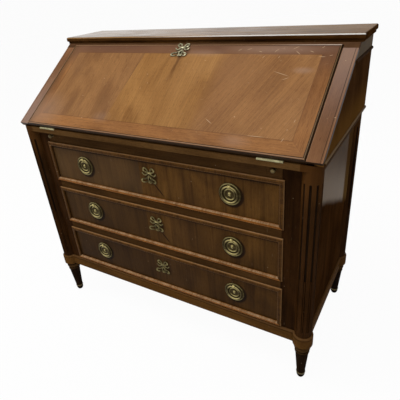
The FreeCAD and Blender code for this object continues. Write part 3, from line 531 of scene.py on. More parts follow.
def lid_edge_finish():
    # Dark wood, partly its own colour and partly painted shade for the faces that look down and out; a
    # painted highlight along its crest, paler towards the right of the head; painted shade in the groove
    def paint():
        place = lid_place()
        x, up, out = parts_of(place)
        from_side = minus(LID_HALF, size_of(x))
        from_foot = minus(up, LID_FOOT)
        from_end = least(from_foot, minus(LID_TOP, up))
        upright = mitred_upright(LID_HALF, from_foot, LID_TOP - LID_FOOT)
        grain = mixed_vector(upright, grain_along(place, "x"), grain_along(place, "y"))
        # Dark wood, partly painted shade for the faces that look down and out
        wood = figure(grain, srgb(60, 40, 22), srgb(34, 20, 10), 0.5, 0.5, 5.0)
        # Painted highlight along the crest, paler towards the right of the head
        side_crest = times(upright, band_of(from_side, *SIDE_CREST, 0.0005))
        colour = shaded(side_crest, 0.9, wood["Color"], srgb(112, 88, 58))
        end_crest = times(minus(1.0, upright), band_of(from_end, *END_CREST, 0.0005))
        end_crest = times(end_crest, ramp(out, LID_FACE - 0.0026, LID_FACE - 0.0012))
        bright_end = times(ramp(x, 0.24, 0.46), above(up, LID_TOP / 2))
        end_tone = mixed(bright_end, srgb(146, 110, 80), srgb(196, 176, 162))
        colour = shaded(end_crest, 0.9, colour, end_tone)
        # Painted shade in the groove
        groove = band_of(least(from_side, from_end), *EDGE_GROOVE, 0.0003)
        colour = shaded(groove, 0.9, colour, BLACK_AND_SHADE)
        return marked(place, colour, 0.5, 0.1, 0.03, 4.0), wood, None

    return wood_finish("lid_edge_wood", paint, 0.32, 0.05, 0.05, 0.1)


def slope_stile_finish():
    # Greyer at the left foot, a painted reflection, greyer at the right head and darker at the right foot; a
    # bead painted along the outer edge, a lighter stripe for its lit crown and a dark line for the shade in
    # its quirk; a painted highlight on the inner arris, and painted shade on the face under the nose
    def paint():
        place = lid_place()
        x, up, out = parts_of(place)
        aside = size_of(x)
        on_left = below(x, 0.0)
        on_right = above(x, 0.0)
        wood = figure(grain_along(place, "y"), srgb(132, 91, 60), srgb(100, 66, 43), 0.6, 0.2, 11.0)
        # Painted reflection at the left foot
        left_foot = times(on_left, ramp(up, 0.26, 0.03))
        colour = shaded(left_foot, 0.55, wood["Color"], srgb(146, 126, 118))
        right_head = times(on_right, ramp(up, 0.06, LID_TOP))
        colour = shaded(right_head, 0.6, colour, srgb(150, 128, 118))
        right_foot = times(on_right, ramp(up, 0.16, 0.02))
        colour = shaded(right_foot, 0.45, colour, srgb(112, 72, 40))
        colour = marked(place, colour, 0.9, 0.15, 0.15, 6.0)
        # A painted bead: a dark line for the shade in its quirk and a lighter stripe for its lit crown
        quirk = band_of(aside, STILE_QUIRK, STILE_QUIRK + 0.0016, 0.0004)
        colour = shaded(quirk, 0.7, colour, BLACK_AND_SHADE)
        bead = band_of(aside, STILE_OUT - 0.0034, STILE_OUT - 0.0014, 0.0005)
        colour = shaded(bead, 0.5, colour, srgb(150, 112, 84))
        # Painted highlight on the inner arris
        arris = ramp(aside, STILE_IN + 0.0022, STILE_IN + 0.0008)
        colour = shaded(arris, 0.6, colour, srgb(160, 120, 86))
        # Painted shade on the face under the nose
        under_face = ramp(out, STILE_FACE - 0.0004, STILE_FACE - 0.0014)
        return shaded(under_face, 0.9, colour, BLACK_AND_SHADE), wood, None

    return wood_finish("slope_stile_wood", paint, 0.4, 0.04, 0.02, 0.2)


def top_finish():
    # Polished flat on top, worn less at the left; the moulded edges are dark, with a painted highlight along
    # the front arris, tan at the left and white to the right
    lowest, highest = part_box("top_board")
    front, high = lowest[1], highest[2]

    def paint():
        place = object_place()
        x, y, z = parts_of(place)
        flat = ramp(z, high - 0.0011, high - 0.0003)
        light = mixed(flat, srgb(94, 61, 28), srgb(138, 104, 62))
        dark = mixed(flat, srgb(58, 35, 14), srgb(94, 66, 35))
        wood = figure(grain_along(place, "x"), light, dark, 0.7, 0.6, 13.0)
        colour = marked(place, wood["Color"], 0.3, 0.15, 0.04, 13.0)
        # Painted highlight along the front arris
        arris = band_of(z, high - 0.0034, high - 0.0008, 0.0004)
        arris = times(arris, ramp(y, front + 0.006, front + 0.004))
        brightened = mixed(ramp(x, -0.25, 0.2), srgb(150, 116, 76), srgb(240, 236, 230))
        colour = shaded(arris, 0.9, colour, brightened)
        worn = scaled(noise(stretched(place, (9, 55, 1)), 1.0, 4.0), 1.5, 0.25)
        gloss = times(worn, ramp(x, -0.42, 0.5, 0.80, 0.20, False))
        return colour, wood, times(gloss, flat)

    return wood_finish("top_veneer", paint, 0.3, 0.0, 0.0, 0.1)


def side_frieze(share):
    # Given share over the side bead, none below it
    return ramp(object_axes()[2], SIDE_BEAD_Z - 0.002, SIDE_BEAD_Z + 0.004, 0.0, share)


def upper_side_gloss():
    return side_frieze(0.065)


def upper_side_tint(colour):
    # Warmer towards the bead at the writing level, and a painted sheen over the upper bead
    colour = shaded(side_frieze(1.0), 0.6, colour, srgb(106, 86, 52))
    return shaded(ramp(object_axes()[2], 0.84, 0.74), 0.55, colour, srgb(124, 86, 38))


def side_sheen():
    # Share of a painted reflection on the side: most just over a line that falls towards the back, less
    # above; the gloss follows it too
    place = object_place()
    y, z = parts_of(place)[1:]
    wave = scaled(noise(place, 9.0, 2.0), 0.02, -0.01)
    fall = plus(scaled(y, SHEEN_FALL, z), wave)
    edge = ramp(fall, SHEEN_EDGE - 0.010, SHEEN_EDGE + 0.020)
    return times(edge, ramp(fall, 0.55, 0.68, 1.0, 0.35))


def side_panel_gloss():
    return times(side_sheen(), 0.18)


def side_panel_tint(colour):
    # Painted reflection: warmer and lighter where side_sheen is high
    return shaded(side_sheen(), 0.9, colour, srgb(112, 84, 46))


def bead_tint(colour):
    # A painted highlight along the upper side of the strip at the writing level
    brightened = band_of(object_axes()[2], BED_BEAD_Z + 0.0058, BED_BEAD_Z + 0.0090, 0.0006)
    return shaded(brightened, 0.8, colour, srgb(140, 116, 86))


def drawer_level():
    # Height over the foot of the drawer that a point belongs to
    over = minus(object_axes()[2], LIP_FOOT["lower"])
    return maths("FLOORED_MODULO", over, LIP_PITCH)


def beside_pull(x):
    # Distance to the right of the nearer pull's middle
    return scaled(maths("SIGN", x), -PULL_X, x)


def drawer_tint(colour):
    # Greyer on the left, a painted reflection; darker towards the bottom and at the lower left; a dark streak
    # beside the bow; painted shadow under the frame's top member, beside its sides and to the lower right of
    # the pulls; painted shadow and shade round the keyhole
    x, _, z = object_axes()
    rise = drawer_level()
    on_left = ramp(x, LEFT_TONE_EDGE + 0.001, LEFT_TONE_EDGE - 0.001)
    # Greyer left part: a painted reflection
    colour = shaded(times(on_left, ramp(z, 0.30, 0.60)), 0.5, colour, srgb(74, 58, 40))
    colour = shaded(ramp(z, 0.62, 0.18), 0.55, colour, srgb(44, 26, 8))
    colour = shaded(times(on_left, ramp(z, 0.54, 0.44)), 0.4, colour, srgb(38, 22, 6))
    # A dark streak beside the bow
    bow_streak = spot(x, rise, BOW_STREAK_AT, BOW_STREAK_REACH, BOW_STREAK_TURN, 0.3)
    bow_streak = times(bow_streak, above(z, LIP_FOOT["middle"]))
    colour = shaded(bow_streak, 0.85, colour, BLACK_AND_SHADE)
    # Painted shadow under the frame's top member and beside its sides
    from_side = minus(LIP_HALF_W - FRAME_W, size_of(x))
    from_head = minus(LIP_H - FRAME_W - UNDER_FRAME, rise)
    corner = ramp(least(from_side, from_head), 0.0, 0.004, 1.0, 0.0)
    colour = shaded(corner, 0.75, colour, BLACK_AND_SHADE)
    # Painted shadow to the lower right of each pull
    ring = spot(beside_pull(x), rise, PULL_SHADOW, (PULL_SHADOW_R, PULL_SHADOW_R), 0.0, 0.84)
    colour = shaded(ring, 0.85, colour, BLACK_AND_SHADE)
    return keyhole_shade(x, rise, KEY_RISE, DRAWER_MOUNT_SHADOW, 0.6, BLACK_AND_SHADE, colour)


def drawer_frame_finish():
    # Painted shade in its quirk and at the foot of its inner wall, except on the lowest member, which has
    # brighter wood as painted light for its downward slope and a pale crown as a painted highlight; a painted
    # highlight runs along every outer edge
    def paint():
        place = object_place()
        x, y, z = parts_of(place)
        rise = drawer_level()
        upright = mitred_upright(LIP_HALF_W, rise, LIP_H)
        level_grain = joined(x, 0.0, plus(y, z))
        grain = mixed_vector(upright, level_grain, joined(z, 0.0, plus(x, y)))
        # The lowest member gets brighter wood: painted light for its downward slope
        low = times(below(rise, LIP_H / 2), minus(1.0, upright))
        light = mixed(low, srgb(104, 68, 27), srgb(180, 112, 42))
        dark = mixed(low, srgb(64, 39, 13), srgb(126, 74, 24))
        wood = figure(grain, light, dark, 0.5, 0.6, 5.0)
        from_end = least(rise, minus(LIP_H, rise))
        from_outer = least(minus(LIP_HALF_W, size_of(x)), from_end)
        height = minus(PANEL_FACE_Y, y)
        # Pale crown on the lowest member: a painted highlight
        crown = times(ramp(from_outer, *FRAME_CROWN), ramp(height, 0.0006, 0.0016))
        streak = ramp(wood["Dullness"], 0.36, 0.62)
        pale = mixed(streak, srgb(182, 152, 118), srgb(126, 94, 60))
        colour = shaded(crown, 0.85, wood["Color"], mixed(low, srgb(86, 57, 27), pale))
        # Painted shade in the quirk
        colour = shaded(band_of(from_outer, *FRAME_QUIRK, 0.0003), 0.75, colour, BLACK_AND_SHADE)
        # Painted highlight along the outer edge
        colour = shaded(ramp(from_outer, 0.0022, 0.0012), 0.7, colour, srgb(160, 120, 76))
        # Painted shade at the foot of the inner wall, except on the lowest member
        foot = times(ramp(height, 0.0026, 0.0014), minus(1.0, low))
        colour = shaded(foot, 0.8, colour, BLACK_AND_SHADE)
        return marked(place, colour, 0.4, 0.1, 0.03, 4.0), wood, None

    return wood_finish("drawer_frame_wood", paint, 0.3, 0.03, 0.04, 0.1)


def post_tint(colour):
    # Painted shade fills the flutes, and the head is paler
    x, y, z = object_axes()
    aside = minus(size_of(x), POST_X)
    forth = minus(size_of(minus(y, POST_MID_Y)), POST_Y)
    off = length_of(joined(aside, forth, 0.0))
    colour = shaded(ramp(z, 0.60, 0.67), 0.5, colour, srgb(92, 58, 25))
    return shaded(ramp(off, POST_R - 0.0004, POST_R - 0.0022), 0.88, colour, BLACK_AND_SHADE)


def leg_tint(colour):
    # Painted shade in the quirks; dark below the collar; paler on the neck and bead
    z = object_axes()[2]
    colour = shaded(ramp(z, *LEG_NECK), 0.6, colour, srgb(92, 66, 36))
    for low, high in LEG_QUIRKS:
        colour = shaded(band_of(z, low, high, 0.0008), 0.85, colour, BLACK_AND_SHADE)
    return shaded(ramp(z, LEG_TIP + 0.002, LEG_TIP), 0.92, colour, BLACK_AND_SHADE)


def plinth_tint(colour):
    # A painted highlight on the upper edge over painted shade in a quirk
    z = object_axes()[2]
    edge = ramp(z, PLINTH_TOP - 0.0055, PLINTH_TOP - 0.0030)
    colour = shaded(edge, 0.6, colour, srgb(104, 74, 44))
    quirk = band_of(z, PLINTH_TOP - 0.0085, PLINTH_TOP - 0.0060, 0.0006)
    return shaded(quirk, 0.6, colour, BLACK_AND_SHADE)


def brass_finish(name, rise, bright, tarnish):
    material, shader = new_finish(name)
    inputs = {"Place": object_place(), "Rise": rise(), "Bright": bright, "Tarnish": tarnish}
    aged = add_node("Group", inputs, node_tree=AGED_BRASS).outputs
    feed(aged["Color"], shader, "Base Color")
    feed(aged["Roughness"], shader, "Roughness")
    feed(aged["Metal"], shader, "Metallic")
    bumped(shader, aged["Height"], 0.15, 0.0002)
    polish(shader, 0.1, 0.0, 0.1)
    return material


def even_rise():
    return scaled(noise(object_place(), 60.0, 3.0), 0.8, 0.15)


def head_and_foot():
    # Most above and below the middle of a pull and little at its sides: a painted reflection, bright where
    # the rounds face up and down
    over = minus(drawer_level(), KEY_RISE)
    far = length_of(joined(beside_pull(object_axes()[0]), over, 0.0))
    return ramp(divided(size_of(over), far), 0.35, 0.97, 0.14, 0.92)


# Random patches of painted glint on the bows
def glint_patches(lowest):
    return ramp(noise(object_place(), 115.0, 2.0), 0.42, 0.60, lowest, 1.0)


def drawer_rise():
    x, y = object_axes()[:2]
    # High places stay bright against the tarnish; the bow adds painted glints and the pulls a painted
    # reflection
    crown = ramp(y, PANEL_FACE_Y - 0.0016, PANEL_FACE_Y - 0.0045)
    on_bow = below(size_of(x), PULL_X / 2)
    bow_share = times(on_bow, glint_patches(0.5))
    pull_share = times(minus(1.0, on_bow), head_and_foot())
    return times(crown, plus(bow_share, pull_share))


def ring_rise():
    front = PANEL_FACE_Y - RING_STAND
    crown = ramp(object_axes()[1], front + 0.0002, front - 0.0018)
    return times(crown, head_and_foot())


def lid_rise():
    crown = ramp(parts_of(lid_place())[2], LID_FACE + 0.0014, LID_FACE + 0.0036)
    return times(crown, glint_patches(0.3))


def leather_finish():
    # Pebbled hide with a tooled border: two gilt lines and a row of beads between them
    material, shader = new_finish("writing_leather")
    place = lid_place()
    x, up = parts_of(place)[:2]
    grain = add_node("TexVoronoi", {"Vector": place, "Scale": 520.0}, feature="DISTANCE_TO_EDGE")
    pebble = ramp(grain.outputs["Distance"], 0.02, 0.16)
    wear = noise(place, 9.0, 4.0)
    colour = mixed(ramp(wear, 0.35, 0.7), srgb(74, 38, 24), srgb(104, 60, 36))
    colour = mixed(pebble, srgb(46, 24, 16), colour)
    from_side = minus(LID_HALF - LEATHER_IN, size_of(x))
    from_top = minus(LID_TOP - LEATHER_IN, up)
    inset = least(from_side, least(minus(up, LID_FOOT + LEATHER_FOOT), from_top))
    lines = [ramp(size_of(minus(inset, at)), 0.0006, 0.0011, 1.0, 0.0) for at in GILT_LINES]
    between = size_of(minus(inset, GILT_BEADS))
    beads = maths("SINE", times(plus(x, up), 900.0))
    beads = times(ramp(between, 0.0012, 0.0022, 1.0, 0.0), ramp(beads, 0.1, 0.5))
    tooling = most(most(*lines), beads)
    colour = shaded(tooling, 0.85, colour, srgb(196, 158, 84))
    feed(colour, shader, "Base Color")
    feed(scaled(wear, 0.25, 0.32), shader, "Roughness")
    bumped(shader, minus(pebble, tooling), 0.3, 0.0003)
    polish(shader, 0.4, 0.0, 0.1)
    return material


# Modelling helpers

def begin():
    if bpy.context.object and bpy.context.object.mode != "OBJECT":
        bpy.ops.object.mode_set(mode="OBJECT")
    bpy.ops.object.select_all(action="DESELECT")


def activate(piece):
    begin()
    piece.select_set(True)
    bpy.context.view_layer.objects.active = piece


def named(name):
    piece = bpy.context.object
    piece.name = name
    piece.data.name = name
    return piece


def hold_place():
    bpy.ops.object.transform_apply(location=True, rotation=True, scale=True)


def added(name, operator, **settings):
    # A new mesh by one of Blender's own operators, with its place worked into its points
    begin()
    operator(**settings)
    hold_place()
    return named(name)


def pick_faces(piece, test):
    # Leaves the piece in edit mode with the faces that pass the test picked
    bpy.ops.object.mode_set(mode="EDIT")
    bpy.ops.mesh.select_mode(type="FACE")
    bpy.ops.mesh.select_all(action="DESELECT")
    bpy.ops.object.mode_set(mode="OBJECT")
    for face in piece.data.polygons:
        face.select = test(face)
    bpy.ops.object.mode_set(mode="EDIT")


def faces_out(face):
    return face.normal.z > 0.9


def inset_steps(steps):
    # Rings of a turned profile, each a narrower inset of the picked face at its own height
    for (r0, z0), (r1, z1) in zip(steps, steps[1:]):
        bpy.ops.mesh.inset(thickness=r0 - r1, depth=z1 - z0)


def arc_steps(middle, half_w, rise, start=0.0, end=180.0):
    # Radius and height along a raised bead, from its outer foot to its inner one
    turns = [math.radians(start + (end - start) * k / ARC_STEPS) for k in range(1, ARC_STEPS + 1)]
    return [(middle[0] + half_w * math.cos(a), middle[1] + rise * math.sin(a)) for a in turns]


def finish_mesh(piece, smooth_deg):
    activate(piece)
    bpy.ops.object.mode_set(mode="EDIT")
    bpy.ops.mesh.select_all(action="SELECT")
    bpy.ops.mesh.remove_doubles(threshold=1e-6)
    bpy.ops.mesh.normals_make_consistent(inside=False)
    bpy.ops.object.mode_set(mode="OBJECT")
    bpy.ops.object.shade_smooth_by_angle(angle=math.radians(smooth_deg))


def apply_modifiers(piece):
    activate(piece)
    for modifier in list(piece.modifiers):
        bpy.ops.object.modifier_apply(modifier=modifier.name)


def merge(pieces, name):
    activate(pieces[0])
    for piece in pieces:
        piece.select_set(True)
    bpy.ops.object.join()
    return named(name)


def copied(piece, name):
    twin = piece.copy()
    twin.data = piece.data.copy()
    twin.name = name
    twin.data.name = name
    bpy.context.scene.collection.objects.link(twin)
    return twin


def settle(piece, place, turn):
    # Sets a piece that was drawn flat, x across, y up and z out, into the desk
    activate(piece)
    piece.rotation_euler = (turn, 0, 0)
    piece.location = place
    hold_place()


def discard(piece):
    mesh = piece.data
    bpy.data.objects.remove(piece)
    bpy.data.meshes.remove(mesh)


# Ring pulls: turned plates with a lug, and the rings that hang from them

PLATE_R = 0.0325
PLATE_T = 0.0012
PLATE_SIDES = 80
RIM_HALF = 0.00215
RIM_RISE = 0.0022
RIM_STEP = ((0.0006, 0.0), (0.0010, 0.0006), (0.0016, 0.0006), (0.0020, 0.0))
BEAD_R = 0.0157
BEAD_HALF = 0.0023
BEAD_RISE = 0.0030
BEAD_TURN = (8.0, 165.0)
QUIRK_W = 0.0012
QUIRK_DEPTH = 0.0002
DISH_Z = 0.0020
DISH_EDGE = 0.0006
DISH_LOW = (0.0090, DISH_Z - 0.0004)
BOSS_R = 0.0060
BOSS_EDGE = 0.0008
BOSS_RISE = 0.0036
BOSS_TURNS = (0, 15, 30, 45, 60, 72, 82)
ARC_STEPS = 8
LUG_R = 0.0044
LUG_WIDTH = 0.007
LUG_SIDES = 32
LUG_BEVEL = (0.0007, 0.0005)
LUG_WALL = 0.0010
LUG_REACH = 0.26
RING_SIDES = 160
RING_NOTCH = 0.00035
NOTCH_EVERY = 4


def pull_plate():
    # Rim, fine step, bead, dish and boss, from the edge inwards
    plate = added(
        "pull_plate", bpy.ops.mesh.primitive_cylinder_add, vertices=PLATE_SIDES, radius=PLATE_R,
        depth=PLATE_T, location=(0, 0, PLATE_T / 2))
    rim_in = PLATE_R - 2 * RIM_HALF
    bead_out = BEAD_R + BEAD_HALF
    profile = [(PLATE_R, PLATE_T)]
    profile += arc_steps((PLATE_R - RIM_HALF, PLATE_T), RIM_HALF, RIM_RISE)
    profile += [(rim_in - back, PLATE_T + rise) for back, rise in RIM_STEP]
    profile += [(bead_out + QUIRK_W, PLATE_T - QUIRK_DEPTH), (bead_out, PLATE_T)]
    profile += arc_steps((BEAD_R, PLATE_T), BEAD_HALF, BEAD_RISE, *BEAD_TURN)
    profile += [(BEAD_R - BEAD_HALF - DISH_EDGE, DISH_Z), DISH_LOW, (BOSS_R + BOSS_EDGE, DISH_Z)]
    turns = [math.radians(degrees) for degrees in BOSS_TURNS]
    profile += [(BOSS_R * math.cos(a), DISH_Z + BOSS_RISE * math.sin(a)) for a in turns]
    pick_faces(plate, faces_out)
    inset_steps(profile)
    finish_mesh(plate, 50.0)
    return plate


def pull_lug():
    # A short barrel across the ring's head, bored for it
    lug = added(
        "pull_lug", bpy.ops.mesh.primitive_cylinder_add, vertices=LUG_SIDES, radius=LUG_R, depth=LUG_WIDTH,
        location=(0, RING_R, RING_STAND), rotation=(0, math.pi / 2, 0))
    pick_faces(lug, lambda face: abs(face.normal.x) > 0.9)
    bpy.ops.mesh.inset(thickness=LUG_BEVEL[0], depth=LUG_BEVEL[1])
    bpy.ops.mesh.inset(thickness=LUG_WALL, depth=0.0)
    bpy.ops.mesh.bridge_edge_loops()
    finish_mesh(lug, 50.0)
    return lug


def hanging_ring():
    # A ring with fine notches all round, plain where it runs through the lug
    ring = added(
        "hanging_ring", bpy.ops.mesh.primitive_torus_add, major_radius=RING_R,
        minor_radius=RING_WIRE - RING_NOTCH / 2, major_segments=RING_SIDES, minor_segments=16,
        location=(0, 0, RING_STAND))
    step = 2 * math.pi / RING_SIDES

    def between_notches(face):
        turn = math.atan2(face.center.y, face.center.x)
        at_lug = abs(turn - math.pi / 2) < LUG_REACH
        return not at_lug and int(round(turn / step - 0.5)) % NOTCH_EVERY in (0, 1)

    pick_faces(ring, between_notches)
    bpy.ops.transform.shrink_fatten(value=RING_NOTCH)
    finish_mesh(ring, 60.0)
    return ring


# Cast ribbon bow round each keyhole, drawn in millimetres about the keyhole

MM = 0.001
BOW_PLATE = (8.6, 12.0, 0.7)
BOW_PLATE_AT = (0, -0.5, 0.7)
BOW_PLATE_STEPS = ((0.3, 0.6), (0.6, 0.5), (0.7, -0.1), (0.6, -0.5), (0.6, 0.5), (1.6, 0.5))
KNOT = (4.6, 3.8, 2.6)
KNOT_AT = (0, 18.0, 1.3)
BOW_BASE = 0.4
KEYHOLE_R = 3.9
KEYHOLE_LOW = -3.4
KEYHOLE_NECK = (0.45, 7.0)
CUTTER_DEPTH = 12
RIBBON_END = 0.7
RIBBON_EDGE = [(-2.2, 0.0), (-2.25, 0.9), (-1.7, 1.8), (-0.95, 1.6), (0.0, 0.85), (0.95, 1.6), (1.7, 1.8),
               (2.25, 0.9), (2.2, 0.0)]
UPPER_LOOP = [(0.5, 17.0, 1.2), (4.0, 23.0, 1.0), (7.0, 31.5, 0.8), (14.5, 34.5, 1.2), (20.5, 29.0, 1.8),
              (17.5, 22.5, 1.4), (10.0, 19.5, 1.0), (1.5, 18.5, 1.8)]
SIDE_RIBBON = [(1.0, 18.0, 1.8), (7.5, 14.0, 1.2), (13.5, 8.6, 0.6), (19.5, 9.6, 1.0), (25.0, 17.5, 1.6)]
LEFT_CURL = [(-6.0, 6.0, 0.8), (-10.0, -0.5, 0.6), (-16.0, -2.8, 0.6), (-24.5, -3.4, 0.9), (-31.0, -8.0, 1.5),
             (-28.5, -14.6, 1.6), (-20.0, -15.4, 1.0), (-12.0, -12.0, 0.5)]
RIGHT_CURL = [(6.0, 6.0, 0.8), (9.0, -0.5, 0.6), (13.0, -2.6, 0.6), (18.0, -3.2, 0.9), (22.0, -7.2, 1.5),
              (20.5, -12.8, 1.6), (15.5, -14.0, 1.0), (10.5, -11.6, 0.5)]
FOOT_SWAG = [(-10.5, -9.0, 0.4), (-5.5, -13.0, 0.9), (0.0, -14.6, 1.2), (5.5, -13.0, 0.9), (10.5, -9.0, 0.4)]
BOW_VOXEL = 0.00032


def new_curve(name, kind, count):
    # A curve with one line of that many points
    begin()
    bpy.ops.curve.primitive_nurbs_path_add(location=(0, 0, 0))
    piece = named(name)
    piece.data.splines.clear()
    line = piece.data.splines.new(kind)
    line.points.add(count - 1)
    return piece, line


def ribbon_profile():
    edge, line = new_curve("ribbon_edge", "POLY", len(RIBBON_EDGE))
    for point, (across, high) in zip(line.points, RIBBON_EDGE):
        point.co = (across * MM, high * MM, 0, 1)
    line.use_cyclic_u = True
    return edge


def ribbon(path, edge, flip):
    strand, line = new_curve("ribbon", "NURBS", len(path))
    for point, (x, y, z) in zip(line.points, path):
        point.co = (x * MM * flip, y * MM, (z + BOW_BASE) * MM, 1)
    line.points[0].radius = RIBBON_END
    line.points[-1].radius = RIBBON_END
    line.order_u = 4
    line.use_endpoint_u = True
    line.resolution_u = 10
    curve = strand.data
    curve.twist_mode = "Z_UP"
    curve.bevel_mode = "OBJECT"
    curve.bevel_object = edge
    curve.use_fill_caps = True
    bpy.ops.object.convert(target="MESH")
    return bpy.context.object


def sized(piece, half_sizes, middle):
    # A unit piece, the active one, brought to its size and place
    piece.scale = [half * MM for half in half_sizes]
    piece.location = [at * MM for at in middle]
    hold_place()


def key_plate():
    plate = added("key_plate", bpy.ops.mesh.primitive_cylinder_add, vertices=64, radius=1.0, depth=2.0)
    sized(plate, BOW_PLATE, BOW_PLATE_AT)
    pick_faces(plate, faces_out)
    for thickness, depth in BOW_PLATE_STEPS:
        bpy.ops.mesh.inset(thickness=thickness * MM, depth=depth * MM)
    return plate


def bow_knot():
    # An egg, flattened where it would sink into the wood
    knot = added("bow_knot", bpy.ops.mesh.primitive_uv_sphere_add, segments=24, ring_count=14, radius=1.0)
    sized(knot, KNOT, KNOT_AT)
    pick_faces(knot, lambda face: face.center.z < 0)
    bpy.ops.transform.resize(value=(1, 1, 0.0), center_override=(0, 0, 0))
    return knot


def key_cutter():
    # A drop, round below and drawn up to a narrow neck
    low = (0, KEYHOLE_LOW * MM, 0)
    cutter = added(
        "key_cutter", bpy.ops.mesh.primitive_cylinder_add, vertices=32, radius=KEYHOLE_R * MM,
        depth=CUTTER_DEPTH * MM, location=low)
    narrow, rise = KEYHOLE_NECK
    pick_faces(cutter, lambda face: abs(face.normal.z) < 0.5 and face.normal.y > 0.3)
    bpy.ops.transform.resize(value=(narrow, narrow, 1), center_override=low)
    bpy.ops.transform.translate(value=(0, rise * MM, 0))
    return cutter


def ribbon_bow():
    edge = ribbon_profile()
    strands = [ribbon(path, edge, flip) for path in (UPPER_LOOP, SIDE_RIBBON) for flip in (1, -1)]
    strands += [ribbon(path, edge, 1) for path in (LEFT_CURL, RIGHT_CURL, FOOT_SWAG)]
    profile = edge.data
    bpy.data.objects.remove(edge)
    bpy.data.curves.remove(profile)
    bow = merge([key_plate(), bow_knot()] + strands, "ribbon_bow")
    finish_mesh(bow, 40.0)
    cast = bow.modifiers.new("cast", "REMESH")
    cast.mode = "VOXEL"
    cast.voxel_size = BOW_VOXEL
    soft = bow.modifiers.new("soft", "SMOOTH")
    soft.factor = 0.5
    soft.iterations = 2
    cutter = key_cutter()
    hole = bow.modifiers.new("hole", "BOOLEAN")
    hole.operation = "DIFFERENCE"
    hole.object = cutter
    apply_modifiers(bow)
    discard(cutter)
    finish_mesh(bow, 50.0)
    return bow


def mount_brass():
    plate = merge([pull_plate(), pull_lug()], "pull_plate")
    ring = hanging_ring()
    bow = ribbon_bow()
    upright = math.pi / 2
    cast = brass_finish("drawer_brass", drawer_rise, srgb(182, 167, 110), srgb(62, 50, 24))
    worn = brass_finish("ring_brass", ring_rise, srgb(184, 168, 112), srgb(56, 44, 20))
    for level in LEVELS:
        z = LIP_FOOT[level] + KEY_RISE
        pieces = [copied(bow, "bow")]
        settle(pieces[0], (0, PANEL_FACE_Y, z), upright)
        for side, x in (("left", -PULL_X), ("right", PULL_X)):
            back = copied(plate, "plate")
            settle(back, (x, PANEL_FACE_Y, z), upright)
            pieces.append(back)
            hung = copied(ring, "ring_%s_%s_cast" % (level, side))
            settle(hung, (x, PANEL_FACE_Y, z), upright)
            hung.data.materials.append(worn)
            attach(hung, "ring_%s_%s" % (level, side))
            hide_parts("ring_pull_%s_%s" % (level, side))
        mounts = merge(pieces, "drawer_mounts_" + level)
        mounts.data.materials.append(cast)
        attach(mounts, "drawer_" + level)
        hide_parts("drawer_brasses_" + level)
    settle(bow, HINGE + Matrix.Rotation(SLOPE, 3, "X") @ Vector((0, LID_KEY, LID_FACE)), SLOPE)
    bow.name = "lid_bow"
    bow.data.materials.append(brass_finish("lid_brass", lid_rise, srgb(218, 212, 174), srgb(60, 50, 26)))
    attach(bow, "lid")
    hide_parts("lid_escutcheon")
    discard(plate)
    discard(ring)


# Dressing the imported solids

def per_drawer(stem):
    return [stem + level for level in LEVELS]


CLEAR = {"roughness": 0.3, "coat_roughness": 0.06}
PLANED = {"roughness": 0.6, "specular": 0.2, "coat": 0.0}
WAXED = {"roughness": 0.4, "specular": 0.3, "coat": 0.1}
VENEERS = (
    # Name, way of the grain, light and dark wood, share of cloud and streak, seed, settings, nodes
    # The head rail's darker wood stands in for the shade under the top's overhang: painted shade
    ("head_rail_veneer", "x", (92, 64, 42), (58, 39, 25), 0.5, 0.4, 9.0, {"roughness": 0.4}, ["head_rail"]),
    ("upper_side_veneer", "z", (84, 55, 30), (50, 30, 14), 0.6, 0.3, 17.0,
     {"tint": upper_side_tint, "gloss": upper_side_gloss, **CLEAR}, ["upper_side_left", "upper_side_right"]),
    ("side_veneer", "z", (72, 44, 20), (42, 24, 9), 0.6, 0.4, 17.0,
     {"tint": side_panel_tint, "gloss": side_panel_gloss, **CLEAR}, ["side_panels"]),
    # The bed rail's wood is lighter than the frieze's, standing in for the light on the rail: painted light
    ("bed_rail_veneer", "x", (104, 74, 40), (74, 50, 24), 0.5, 0.4, 19.0, {}, ["bed_rail"]),
    ("rail_veneer", "x", (86, 58, 28), (58, 38, 17), 0.5, 0.4, 19.0, {},
     ["drawer_rails", "frieze_board", "loper_left", "loper_right"]),
    ("bed_frame_veneer", "y", (86, 58, 30), (54, 34, 14), 0.5, 0.4, 23.0, {}, ["bed_frame_rails"]),
    ("side_bead_wood", "y", (74, 48, 22), (44, 27, 11), 0.5, 0.4, 23.0, {"tint": bead_tint}, ["side_beads"]),
    ("front_stile_veneer", "z", (62, 36, 13), (34, 18, 5), 0.6, 0.4, 29.0, {}, ["front_stiles"]),
    ("drawer_veneer", "z", (106, 72, 31), (66, 42, 16), 0.7, 0.5, 31.0,
     {"tint": drawer_tint, "specular": 0.02}, per_drawer("drawer_front_")),
    ("post_wood", "z", (64, 38, 14), (36, 20, 7), 0.5, 0.4, 37.0,
     {"tint": post_tint, "roughness": 0.28}, ["front_posts", "rear_posts"]),
    ("leg_wood", "z", (38, 23, 10), (22, 12, 5), 0.5, 0.4, 38.0,
     {"tint": leg_tint, "roughness": 0.28}, ["turned_legs"]),
    ("plinth_wood", "x", (102, 68, 30), (70, 45, 18), 0.5, 0.4, 41.0,
     {"tint": plinth_tint, "roughness": 0.3}, ["plinth"]),
    ("inner_wood", "x", (178, 142, 98), (134, 100, 62), 0.5, 0.6, 43.0, PLANED,
     ["upper_back_board", "lower_back_board", "bottom_board", "drawer_runners"]),
    ("drawer_box_wood", "y", (178, 142, 98), (134, 100, 62), 0.5, 0.6, 44.0, PLANED,
     per_drawer("drawer_box_")),
    ("nest_wood", "x", (150, 104, 66), (104, 66, 40), 0.5, 0.5, 47.0, WAXED,
     ["pigeonhole_case", "writing_bed"]),
    ("small_drawer_wood", "x", (160, 112, 70), (110, 70, 42), 0.6, 0.5, 53.0, WAXED,
     ["small_drawer_1", "small_drawer_2", "small_drawer_3"]),
)


